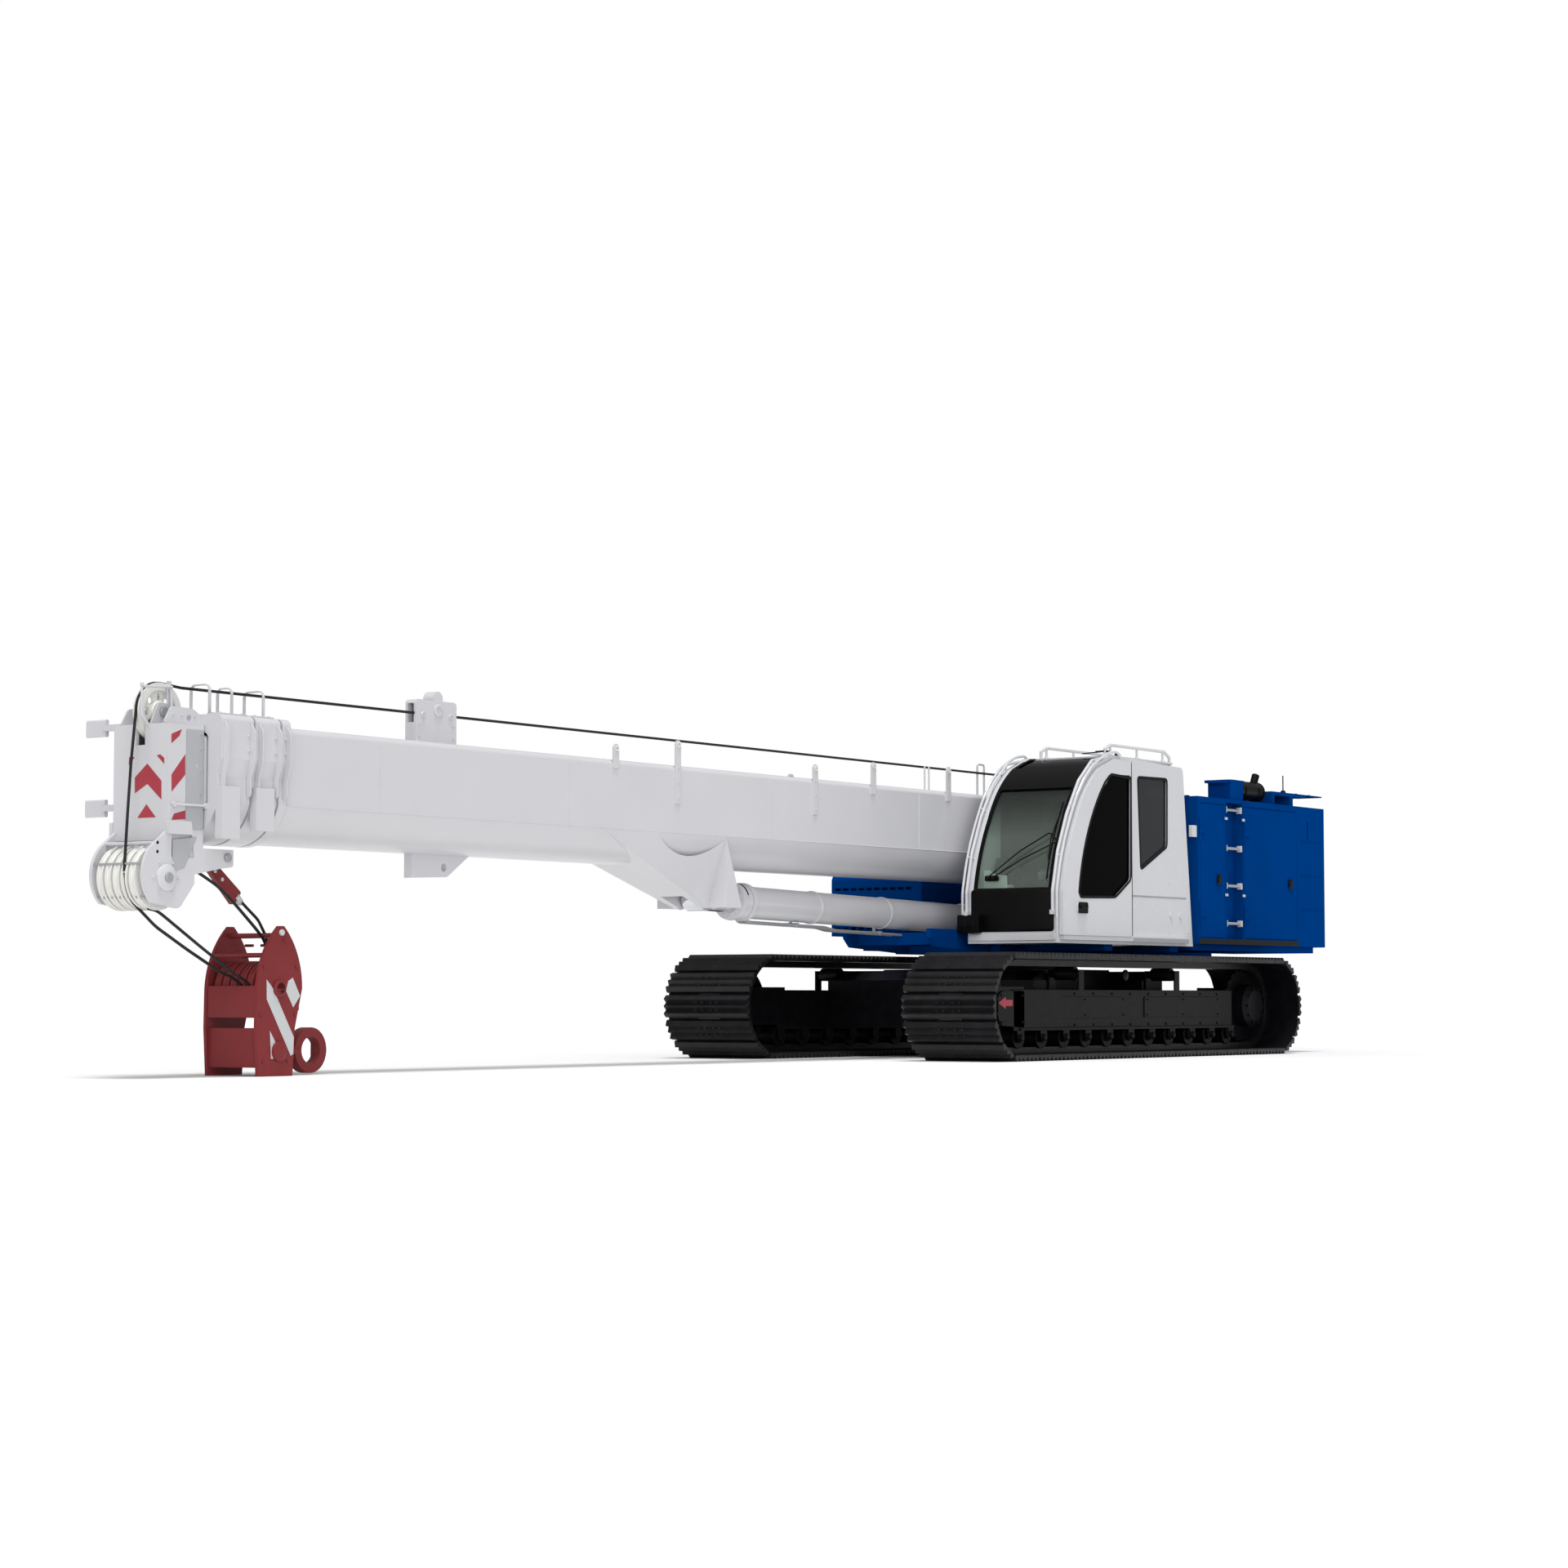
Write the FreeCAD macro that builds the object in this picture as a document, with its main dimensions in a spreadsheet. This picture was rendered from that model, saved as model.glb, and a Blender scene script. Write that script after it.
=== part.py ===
import FreeCAD, Part
import math
import os
import re
import Sketcher

# Telescopic boom crane on crawler tracks, in millimetres
# +X forward along the boom, +Y to the operator's cab, +Z up, origin on the ground at the slewing axis
# Heights of everything above the slew ring are taken from the ring's top face

os.makedirs("parts", exist_ok=True)
doc = FreeCAD.newDocument("Crane")
sheet = doc.addObject("Spreadsheet::Sheet", "Dims")

SIZES = {
    # crawler tracks
    "track_length": 5827, "track_height": 927, "track_offset": 1258, "shoe_width": 914,
    "straight_links": 24, "bend_links": 6, "shoe_gap": 6, "shoe_plate": 18, "shoe_rib": 34,
    "shoe_sink": 3, "chain_width": 230, "chain_depth": 60, "running_gap": 0.3,
    "roller_count": 11, "roller_inset": 50, "roller_radius": 85, "roller_flange": 13,
    "flange_gap": 3, "flange_wall": 14, "roller_shaft": 30,
    "carrier_radius": 60, "carrier_half": 100, "carrier_shaft": 35, "carrier_seat": 145,
    "carrier_spread": 900, "wheel_boss": 90, "rim_depth": 60, "rim_half": 80, "web_half": 25,
    "wheel_room": 99, "sprocket_teeth": 21, "tooth_depth": 34, "tooth_half": 32, "drive_radius": 205,
    "drive_half": 150, "drive_cap": 150, "drive_cap_half": 190,
    # track frames and car body, their heights taken from the wheel axles
    "beam_drop": 208, "beam_rise": 146, "beam_half": 160, "beam_side": 22, "beam_roof": 8,
    "flange_out": 28, "flange_high": 22, "panel_proud": 14, "panel_long": 720, "arm_wall": 45,
    "arm_end": 110, "arm_drop": 165, "arm_rise": 172, "arm_corner": 60, "ear_wall": 15, "ear_half": 50,
    "post_half": 45, "post_rise": 326,
    "axle_beam_in": 800, "axle_beam_out": 1200, "axle_beam_drop": 193, "axle_beam_rise": 236,
    "centre_half": 800, "centre_drop": 13, "centre_rise": 336, "centre_corner": 120,
    "pedestal_radius": 720, "ring_drop": 22, "ring_depth": 45, "ring_radius": 700, "ring_wall": 110,
    "bearing_gap": 0.5,
    # slewing deck
    "deck_low": 35, "deck_high": 110, "deck_half": 560, "deck_front": 880, "deck_short": 60,
    "wing_half": 1440, "wing_low": 80, "wing_high": 140, "wing_rear": 440, "arm_half": 75,
    "arm_out": 1400, "arm_rear_x": -875, "arm_front_x": 375, "step_out": 1300, "step_front": 300,
    # boom mounts on the deck
    "plate_in": 420, "plate_wall": 45, "pin_cap": 30, "nose_front": 1900, "nose_chamfer": 1810,
    "nose_low": 85, "nose_mid": 165, "nose_high": 245, "nose_hole_x": 1290,
    "nose_hole_z": 165, "nose_hole": 40, "nose_web": 40, "nose_web_high": 215,
    "spine_high": 595, "spine_front": 420, "spine_drop": 60, "foot_x": -1300, "foot_z": 1095,
    "foot_pin": 60, "foot_ear": 210, "ear_corner": 150, "ear_back": 500, "ear_front": 650,
    "foot_boss": 130, "foot_gap": 10, "pin_gap": 0.5,
    "lift_base_x": 200, "lift_base_z": 345, "lift_eye_x": 4750, "lift_eye_z": 445, "lift_pin": 50,
    "barrel_radius": 135, "barrel_start": 80, "barrel_end": 450, "barrel_eye": 115, "barrel_eye_half": 95,
    "gland_radius": 150, "gland_long": 140, "rod_radius": 95, "rod_start": 400, "bore_start": 300,
    "rod_eye": 100, "rod_eye_half": 90, "rod_neck": 61,
    # boom
    "boom_half": 350, "boom_top": 1485, "boom_crease": 945, "boom_low": 685, "boom_corner": 45,
    "boom_wall": 12, "boom_step": 30, "boom_rear": -1700, "base_front": 10100, "collar_out": 50,
    "collar_neck": 18, "collar_waist": 1115, "collar_shoulder": 1235, "collar_long": 80,
    "collar_gap": 20, "collar_two": 240, "collar_three": 310, "notch_in": 130, "notch_out": 290,
    "notch_long": 120, "notch_deep": 36, "inner_rear": -1080, "inner_stagger": 40, "pad_long": 220,
    "pad_gap": 0.5, "flank_low": 635, "flank_high": 1050, "flank_out": 62, "flank_long": 176,
    # lift cylinder bracket under the boom
    "bracket_rear": 4830, "bracket_front": 6490, "bracket_low_rear": 4610, "bracket_low_front": 4850,
    "bracket_low": 365, "bracket_low_half": 165, "cheek_in": 110, "eye_room": 5100,
    "saddle_x": 5280, "saddle_half": 470, "saddle_depth": 175,
    # rope guides on the boom
    "guide_rear": 7860, "guide_front": 8320, "guide_half": 50, "guide_high": 1825,
    "guide_hump_x": 8070, "guide_hump": 1895, "stand_half": 35, "stand_wall": 12,
    "stand_strap": 1175, "stand_hole": 12, "lug_mid": 7940, "lug_back": 300, "lug_nose": 400,
    "lug_low": 510, "lug_half": 35, "lug_hole_out": 35, "lug_hole_z": 595, "lug_hole": 30,
    # boom head
    "head_front": 11040, "head_gap": 5, "head_half": 250, "head_wall": 25, "head_top": 1455,
    "head_low": 220, "head_side_low": 735, "cheek_side": 90, "cheek_top": 240, "cheek_reach": 211,
    "cheek_foot": 125, "cheek_drop": 170, "cheek_back": 263, "socket_half": 60,
    "socket_high": 630, "brow_low": 675, "slot_depth": 140, "panel_drop": 70, "recess_rear": 10780,
    "recess_front": 10990, "recess_low": 565, "recess_high": 775,
    "top_sheave_x": 10890, "top_sheave_z": 1545, "top_sheave_radius": 200, "low_sheave_x": 11040,
    "low_sheave_z": 425, "low_sheave_radius": 215, "sheave_width": 55, "sheave_pitch": 75,
    "sheave_slot": 40, "groove_gap": 1, "sheave_pin": 40, "cheek_near": 38, "cheek_wall": 16,
    "socket_pin_x": 10470, "socket_pin_z": 575, "socket_end_x": 10110, "socket_end_z": 315,
    "socket_pin": 25, "socket_wall": 40, "jib_arm_x": 10750, "jib_arm_out": 640, "jib_pad_out": 810,
    "jib_arm_half": 22, "jib_pad_half": 60, "jib_arm_low": 925, "jib_arm_high": 1475, "hoop_wall": 10,
    # hook block, on the ground
    "block_x": 9950, "block_z": 600, "block_half": 250, "block_plate": 25, "block_sheave_radius": 190,
    "block_top": 1030, "block_floor": 2, "trunnion_z": 170, "trunnion_radius": 60, "hook_ring_x": 9400,
    "hook_ring_out": 160, "hook_ring_in": 95, "hook_half": 40, "shank_radius": 45, "rope_radius": 11,
    # operator's cab
    "cab_out": 1455, "cab_in": 544, "cab_wall": 45, "cab_low": 115, "cab_rear": -1150,
    "cab_floor": 60, "door_wall": 40, "door_gap": 5, "glass_wall": 8, "screen_low": 585,
    "screen_sill": 225, "door_low": 185, "roof_tube": 14,
    # housings
    "house_out": 1500, "house_in": 550, "house_front": -1180, "house_rear": -3310, "house_high": 1535,
    "house_wall": 35, "side_box_front": 540, "side_box_low": 215, "side_box_high": 795,
    "side_box_in": 490, "grille_count": 10, "grille_pitch": 88, "grille_long": 66, "grille_high": 24,
    "grille_deep": 60, "door_post": 40, "door_sill": 60, "hinge_set": 12, "hinge_out": 8,
    "knuckle_radius": 9, "knuckle_long": 70, "strap_long": 110, "latch_long": 90, "latch_high": 110,
    "latch_z": 755, "latch_out": 12, "weight_long": 590, "weight_bulge": 250, "slot_low": 1215,
    "slot_high": 1385, "slot_wide": 30, "slot_deep": 40, "ladder_front": -1760,
    "ladder_rear": -2100, "ladder_depth": 100, "rung_radius": 14, "rung_in": 30,
    "intake_ahead": 1265, "intake_y": 1350, "intake_half": 130, "intake_high": 1705,
    "muffler_ahead": 520, "muffler_long": 500, "muffler_y": 1300, "muffler_z": 1655,
    "muffler_radius": 95, "shelf_ahead": 470, "shelf_behind": 650, "shelf_low": 1630,
    "shelf_high": 1665, "shelf_in": 1180, "shelf_out": 1450,
    "engine_long": 900, "engine_high": 850, "engine_in": 140, "engine_out": 260,
    "winch_back": 95, "winch_z": 995, "drum_radius": 250, "drum_flange": 400, "drum_half": 390,
    "drum_wall": 20, "winch_gap": 5, "winch_foot": 300, "winch_head": 150,
    "winch_over": 120, "winch_axle": 60,
    "shelf_wall": 12, "shelf_box": 380, "shelf_foot": 60, "intake_lip": 25,
    "seat_in": 770, "seat_out": 1270, "console_wall": 100, "pillar_in": 70, "pillar_out": 60,
    "lamp_out": 60, "lamp_left": 70, "lamp_right": 140, "handle_out": 20, "rail_in": 120,
    "rail_x": 1445, "rail_foot": 20,
}

for row, (alias, number) in enumerate(SIZES.items(), 1):
    sheet.set("A%d" % row, alias)
    sheet.set("B%d" % row, str(number))
    sheet.setAlias("B%d" % row, alias)
doc.recompute()

FUNCTIONS = {"sqrt", "sin", "cos", "tan", "atan"}
nodes = []


# Expressions on the sheet

def cell(text):
    def swap(match):
        word = match.group(0)
        return word if word in FUNCTIONS else "Dims." + word
    return re.sub(r"[a-z]\w*", swap, str(text))


def value(text):
    return float(sheet.evalExpression(cell(text)))


def bind(thing, prop, text):
    thing.setExpression(prop, cell(text))


# Sketches and features

def new_body(label):
    body = doc.addObject("PartDesign::Body", label)
    body.Label = label
    body.AllowCompound = True
    nodes.append(body)
    return body


def sketch_on(body, role, offset):
    sketch = body.newObject("Sketcher::SketchObject", body.Label + "_sketch")
    plane = next(item for item in body.Origin.OriginFeatures if item.Role == role)
    sketch.AttachmentSupport = [(plane, "")]
    sketch.MapMode = "FlatFace"
    bind(sketch, "AttachmentOffset.Base.z", offset)
    return sketch


def fix_point(constraints, links, geo, end, point, spot):
    constraints.append(Sketcher.Constraint("DistanceX", -1, 1, geo, end, spot.x))
    links.append((len(constraints) - 1, point[0]))
    constraints.append(Sketcher.Constraint("DistanceY", -1, 1, geo, end, spot.y))
    links.append((len(constraints) - 1, point[1]))


def corner_cut(spots, at, radius):
    to_last = (spots[at - 1] - spots[at]).normalize()
    to_next = (spots[(at + 1) % len(spots)] - spots[at]).normalize()
    half = to_last.getAngle(to_next) / 2
    middle = (to_last + to_next).normalize()
    reach = radius / math.tan(half)
    centre = spots[at] + middle * (radius / math.sin(half))
    return spots[at] + to_last * reach, centre - middle * radius, spots[at] + to_next * reach


# An arc through three points, always drawn counter-clockwise, and the end of it that is nearer the first
def add_arc(sketch, begin, through, finish):
    centre = Part.Circle(begin, through, finish).Center
    angles = [math.atan2(spot.y - centre.y, spot.x - centre.x) for spot in (begin, through, finish)]
    turn_through = (angles[1] - angles[0]) % (2 * math.pi)
    turn_finish = (angles[2] - angles[0]) % (2 * math.pi)
    onward = turn_through < turn_finish
    first, last = (angles[0], angles[2]) if onward else (angles[2], angles[0])
    full = Part.Circle(centre, FreeCAD.Vector(0, 0, 1), (begin - centre).Length)
    geo = sketch.addGeometry(Part.ArcOfCircle(full, first, last), False)
    return geo, 1 if onward else 2


# An outline is a list of (u, v) corners, (u, v, radius) rounded corners
# and (u, v, "via") points that an arc passes through
def outline(sketch, points):
    corners = [point for point in points if point[-1] != "via"]
    vias = {}
    for at, point in enumerate(points):
        if point[-1] == "via":
            vias[len([p for p in points[:at] if p[-1] != "via"]) - 1] = point
    spots = [FreeCAD.Vector(value(p[0]), value(p[1]), 0) for p in corners]
    cuts = []
    for at, point in enumerate(corners):
        radius = value(point[2]) if len(point) > 2 else 0
        cuts.append(corner_cut(spots, at, radius) if radius else (spots[at], None, spots[at]))
    constraints, links, edges = [], [], []
    count = len(corners)
    for at in range(count):
        start, end = cuts[at][2], cuts[(at + 1) % count][0]
        if at in vias:
            through = FreeCAD.Vector(value(vias[at][0]), value(vias[at][1]), 0)
            geo, first = add_arc(sketch, start, through, end)
            edges.append((geo, first, 3 - first))
            mark = sketch.addGeometry(Part.Point(through), True)
            fix_point(constraints, links, mark, 1, vias[at], through)
            constraints.append(Sketcher.Constraint("PointOnObject", mark, 1, geo))
        else:
            geo = sketch.addGeometry(Part.LineSegment(start, end), False)
            edges.append((geo, 1, 2))
    for at in range(count):
        last, after = edges[at - 1], edges[at]
        if len(corners[at]) > 2:
            begin, middle, finish = cuts[at]
            arc, first = add_arc(sketch, begin, middle, finish)
            mark = sketch.addGeometry(Part.Point(spots[at]), True)
            constraints.append(Sketcher.Constraint("Tangent", last[0], last[2], arc, first))
            constraints.append(Sketcher.Constraint("Tangent", after[0], after[1], arc, 3 - first))
            constraints.append(Sketcher.Constraint("PointOnObject", mark, 1, last[0]))
            constraints.append(Sketcher.Constraint("PointOnObject", mark, 1, after[0]))
            constraints.append(Sketcher.Constraint("Radius", arc, value(corners[at][2])))
            links.append((len(constraints) - 1, corners[at][2]))
            fix_point(constraints, links, mark, 1, corners[at], spots[at])
        else:
            constraints.append(Sketcher.Constraint("Coincident", last[0], last[2], after[0], after[1]))
            fix_point(constraints, links, after[0], after[1], corners[at], spots[at])
    tie(sketch, constraints, links)


def circle(sketch, u, v, radius):
    centre = FreeCAD.Vector(value(u), value(v), 0)
    geo = sketch.addGeometry(Part.Circle(centre, FreeCAD.Vector(0, 0, 1), value(radius)), False)
    constraints, links = [], []
    constraints.append(Sketcher.Constraint("Radius", geo, value(radius)))
    links.append((0, radius))
    fix_point(constraints, links, geo, 3, (u, v), centre)
    tie(sketch, constraints, links)


def tie(sketch, constraints, links):
    base = sketch.ConstraintCount
    sketch.addConstraint(constraints)
    for index, text in links:
        if re.search(r"[a-z]", str(text)):
            sketch.setExpression("Constraints[%d]" % (base + index), cell(text))


def draw(sketch, shapes):
    for shape in shapes:
        if shape[0] == "circle":
            circle(sketch, *shape[1:])
        else:
            outline(sketch, shape)


# A pad fills the shapes from low to high along the plane's own axis
def pad(body, role, low, high, shapes):
    flip = role == "XZ_Plane"
    sketch = sketch_on(body, role, "-(%s)" % low if flip else low)
    draw(sketch, shapes)
    feature = body.newObject("PartDesign::Pad", body.Label + "_pad")
    feature.Profile = sketch
    bind(feature, "Length", "(%s) - (%s)" % (high, low))
    feature.Reversed = flip
    return feature


def pocket(body, role, low, high, shapes):
    doc.recompute()
    before = body.Shape.Volume
    flip = role == "XZ_Plane"
    sketch = sketch_on(body, role, "-(%s)" % low if flip else low)
    draw(sketch, shapes)
    feature = body.newObject("PartDesign::Pocket", body.Label + "_pocket")
    feature.Profile = sketch
    bind(feature, "Length", "(%s) - (%s)" % (high, low))
    feature.Reversed = not flip
    doc.recompute()
    if body.Shape.Volume > before - 1:
        raise RuntimeError("nothing was cut from " + body.Label)
    return feature


# A revolved piece turns its outline of (radius, along) about the body's Y axis
def turned(body, points):
    sketch = sketch_on(body, "XY_Plane", "0")
    outline(sketch, points)
    feature = body.newObject("PartDesign::Revolution", body.Label + "_turn")
    feature.Profile = sketch
    feature.ReferenceAxis = (sketch, ["V_Axis"])
    feature.Angle = 360
    return feature


def repeat(body, feature, axis, length, count):
    pattern = body.newObject("PartDesign::LinearPattern", body.Label + "_row")
    pattern.Originals = [feature]
    pattern.Direction = (feature.Profile[0], [axis])
    bind(pattern, "Length", length)
    bind(pattern, "Occurrences", count)
    body.Tip = pattern
    return pattern


# A round tube along a path of (u, v) points in an upright plane; its first run stands upright
def tube(body, across, points, radius):
    path = sketch_on(body, "XZ_Plane", "-(%s)" % across)
    spots = [FreeCAD.Vector(value(point[0]), value(point[1]), 0) for point in points]
    constraints, links = [], []
    for begin, finish in zip(spots, spots[1:]):
        path.addGeometry(Part.LineSegment(begin, finish), False)
    for number, (point, spot) in enumerate(zip(points, spots)):
        if number and number < len(spots) - 1:
            constraints.append(Sketcher.Constraint("Coincident", number - 1, 2, number, 1))
        last = number == len(spots) - 1
        fix_point(constraints, links, number - 1 if last else number, 2 if last else 1, point, spot)
    tie(path, constraints, links)
    profile = sketch_on(body, "XY_Plane", points[0][1])
    circle(profile, points[0][0], across, radius)
    feature = body.newObject("PartDesign::AdditivePipe", body.Label + "_tube")
    feature.Profile = profile
    feature.Spine = (path, [])
    feature.Transition = "Round corner"
    return feature


def place(thing, along="0", across="0", up="0"):
    for letter, text in (("x", along), ("y", across), ("z", up)):
        bind(thing, "Placement.Base." + letter, text)


def rect(u0, v0, u1, v1, radius=None):
    corners = [(u0, v0), (u1, v0), (u1, v1), (u0, v1)]
    return [corner + (radius,) for corner in corners] if radius else corners


def feature_node(label, shape):
    feature = doc.addObject("Part::Feature", label)
    feature.Label = label
    feature.Shape = shape
    feature.Placement = FreeCAD.Placement()
    nodes.append(feature)
    return feature


def copies(shape, spots):
    out = []
    for spot in spots:
        piece = shape.copy()
        piece.translate(FreeCAD.Vector(*spot))
        out.append(piece)
    return out


# A piece that only lends its shape to a node is taken off the list of nodes
def spare(body):
    doc.recompute()
    nodes.remove(body)
    return body.Shape


LOOP = "track_height / 2"
LINK_OUT = "(track_height / 2 - shoe_plate - shoe_rib)"
LINK_IN = "(track_height / 2 - shoe_plate - shoe_rib - chain_depth)"
WHEEL = "(track_height / 2 - shoe_plate - shoe_rib - chain_depth - running_gap)"
REACH = "((track_length - track_height) / 2)"
BEAM_END = "(%s - %s - wheel_room)" % (REACH, WHEEL)
BEAM_LOW = "(track_height / 2 - beam_drop)"
BEAM_HIGH = "(track_height / 2 + beam_rise)"
ROLLER_Z = "(shoe_plate + shoe_rib + chain_depth + running_gap + roller_radius)"
ROLLER_END = "(%s - roller_inset)" % BEAM_END
ROLLER_TOP = "(%s + roller_radius + roller_flange + beam_roof)" % ROLLER_Z
RING_TOP = "(track_height - ring_drop)"

# The deck's end, the gear on the left roof and the winch keep their places from the housings' rear
DECK_REAR = "(house_rear + deck_short)"
INTAKE_X = "(house_rear + intake_ahead)"
MUFFLER_REAR = "(house_rear + muffler_ahead)"
MUFFLER_FRONT = "(house_rear + muffler_ahead + muffler_long)"
SHELF_REAR = "(house_rear - shelf_behind)"
SHELF_FRONT = "(house_rear + shelf_ahead)"
WINCH_X = "((house_rear + boom_rear) / 2 - winch_back)"
SIDES = (("left", 1), ("right", -1))


# A piece of the upper works, whose heights are taken from the top of the slew ring
def upper_body(label):
    body = new_body(label)
    bind(body, "Placement.Base.z", RING_TOP)
    return body


def mirrored(sign, low, high):
    return (low, high) if sign > 0 else ("-(%s)" % high, "-(%s)" % low)


# Crawler track: a chain band with a triple-rib shoe on each link
def stadium(radius, reach, width):
    face_edges = []
    corners = [FreeCAD.Vector(-reach, 0, radius), FreeCAD.Vector(reach, 0, radius),
               FreeCAD.Vector(reach, 0, -radius), FreeCAD.Vector(-reach, 0, -radius)]
    face_edges.append(Part.LineSegment(corners[0], corners[1]).toShape())
    face_edges.append(Part.Arc(corners[1], FreeCAD.Vector(reach + radius, 0, 0), corners[2]).toShape())
    face_edges.append(Part.LineSegment(corners[2], corners[3]).toShape())
    face_edges.append(Part.Arc(corners[3], FreeCAD.Vector(-reach - radius, 0, 0), corners[0]).toShape())
    face = Part.Face(Part.Wire(face_edges))
    face.translate(FreeCAD.Vector(0, -width / 2, 0))
    return face.extrude(FreeCAD.Vector(0, width, 0))


def shoe_shape():
    half = (2 * value(REACH) / sheet.straight_links - sheet.shoe_gap) / 2
    sink, plate, top = -sheet.shoe_sink, sheet.shoe_plate, sheet.shoe_plate + sheet.shoe_rib
    third = half / 3
    profile = [(-half, sink), (half, sink), (half, plate), (2 * third, top), (third, plate),
               (0, top), (-third, plate), (-2 * third, top), (-half, plate)]
    points = [FreeCAD.Vector(x, -sheet.shoe_width / 2, z) for x, z in profile]
    face = Part.Face(Part.makePolygon(points + points[:1]))
    return face.extrude(FreeCAD.Vector(0, sheet.shoe_width, 0))


# Places and outward turns of the shoes: evenly along the straight runs, fanned out round the two ends
def loop_spots():
    radius, reach = value(LINK_OUT), value(REACH)
    straight, bend = int(sheet.straight_links), int(sheet.bend_links)
    spots = []
    for number in range(straight + 1):
        x = -reach + 2 * reach * number / straight
        spots.append((x, radius, 0))
        spots.append((x, -radius, 180))
    for number in range(1, bend):
        turn = math.pi * number / bend
        x, z = radius * math.sin(turn), radius * math.cos(turn)
        spots.append((reach + x, z, math.degrees(turn)))
        spots.append((-reach - x, z, -math.degrees(turn)))
    return spots


def track_shape():
    overlap = 2
    band = stadium(value(LINK_OUT), value(REACH), sheet.chain_width)
    band = band.cut(stadium(value(LINK_IN), value(REACH), sheet.chain_width + overlap))
    shoe = shoe_shape()
    shoes = []
    for x, z, turn in loop_spots():
        piece = shoe.copy()
        piece.rotate(FreeCAD.Vector(0, 0, 0), FreeCAD.Vector(0, 1, 0), turn)
        piece.translate(FreeCAD.Vector(x, 0, z))
        shoes.append(piece)
    return band.multiFuse(shoes)


def tracks():
    shape = track_shape()
    for side, sign in SIDES:
        node = feature_node("track_" + side, shape.copy())
        place(node, "0", "%d * track_offset" % sign, LOOP)


# Idlers and toothed drive sprockets on their hubs
def idler(side, sign):
    body = new_body("idler_" + side)
    boss = "(beam_half - arm_wall - running_gap)"
    rim = "(%s - rim_depth)" % WHEEL
    turned(body, [("0", "-" + boss), ("wheel_boss", "-" + boss), ("wheel_boss", "-web_half"),
                  (rim, "-web_half"), (rim, "-rim_half"), (WHEEL, "-rim_half"),
                  (WHEEL, "rim_half"), (rim, "rim_half"), (rim, "web_half"),
                  ("wheel_boss", "web_half"), ("wheel_boss", boss), ("0", boss)])
    place(body, REACH, "%d * track_offset" % sign, LOOP)


def sprocket(side, sign):
    body = new_body("sprocket_" + side)
    boss = "(beam_half - arm_wall - running_gap)"
    turned(body, [("0", "-" + boss), ("drive_radius", "-" + boss), ("drive_radius", "-tooth_half"),
                  (WHEEL, "-tooth_half"), (WHEEL, "tooth_half"), ("drive_radius", "tooth_half"),
                  ("drive_radius", "drive_half"), ("drive_cap", "drive_cap_half"),
                  ("0", "drive_cap_half")])
    doc.recompute()
    sketch = sketch_on(body, "XZ_Plane", "-tooth_half")
    circle(sketch, WHEEL + " + tooth_depth / 3", "0", "tooth_depth")
    gap = body.newObject("PartDesign::Pocket", "tooth_gap_" + side)
    gap.Profile = sketch
    bind(gap, "Length", "2 * tooth_half")
    gap.Reversed = True
    teeth = body.newObject("PartDesign::PolarPattern", "teeth_" + side)
    teeth.Originals = [gap]
    teeth.Axis = (next(o for o in body.Origin.OriginFeatures if o.Role == "Y_Axis"), [""])
    teeth.Angle = 360
    bind(teeth, "Occurrences", "sprocket_teeth")
    body.Tip = teeth
    place(body, "-" + REACH, "%d * track_offset" % sign, LOOP)
    if sign < 0:
        body.Placement.Rotation = FreeCAD.Rotation(FreeCAD.Vector(0, 0, 1), 180)


# Lower rollers and the two carrier rollers of each side
def rollers():
    body = new_body("roller_form")
    seat = "(beam_half - ear_wall - running_gap)"
    inner = "(chain_width / 2 + flange_gap)"
    outer = "(chain_width / 2 + flange_gap + flange_wall)"
    rim = "roller_radius + roller_flange"
    turned(body, [("0", "-" + seat), ("roller_shaft", "-" + seat), ("roller_shaft", "-" + outer),
                  (rim, "-" + outer), (rim, "-" + inner), ("roller_radius", "-" + inner),
                  ("roller_radius", inner), (rim, inner), (rim, outer), ("roller_shaft", outer),
                  ("roller_shaft", seat), ("0", seat)])
    roller = spare(body)
    top = new_body("carrier_form")
    turned(top, [("0", "-carrier_seat"), ("carrier_shaft", "-carrier_seat"),
                 ("carrier_shaft", "-carrier_half"), ("carrier_radius", "-carrier_half"),
                 ("carrier_radius", "carrier_half"), ("carrier_shaft", "carrier_half"),
                 ("carrier_shaft", "carrier_seat"), ("0", "carrier_seat")])
    carrier = spare(top)
    height = value("track_height / 2 + " + LINK_IN + " - running_gap - carrier_radius")
    count = int(sheet.roller_count)
    pitch = 2 * value(ROLLER_END) / (count - 1)
    for side, sign in SIDES:
        across = sign * sheet.track_offset
        spots = [(number * pitch - value(ROLLER_END), across, value(ROLLER_Z)) for number in range(count)]
        tops = [(end * sheet.carrier_spread, across, height) for end in (-1, 1)]
        feature_node("rollers_" + side, Part.makeCompound(copies(roller, spots) + copies(carrier, tops)))


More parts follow.
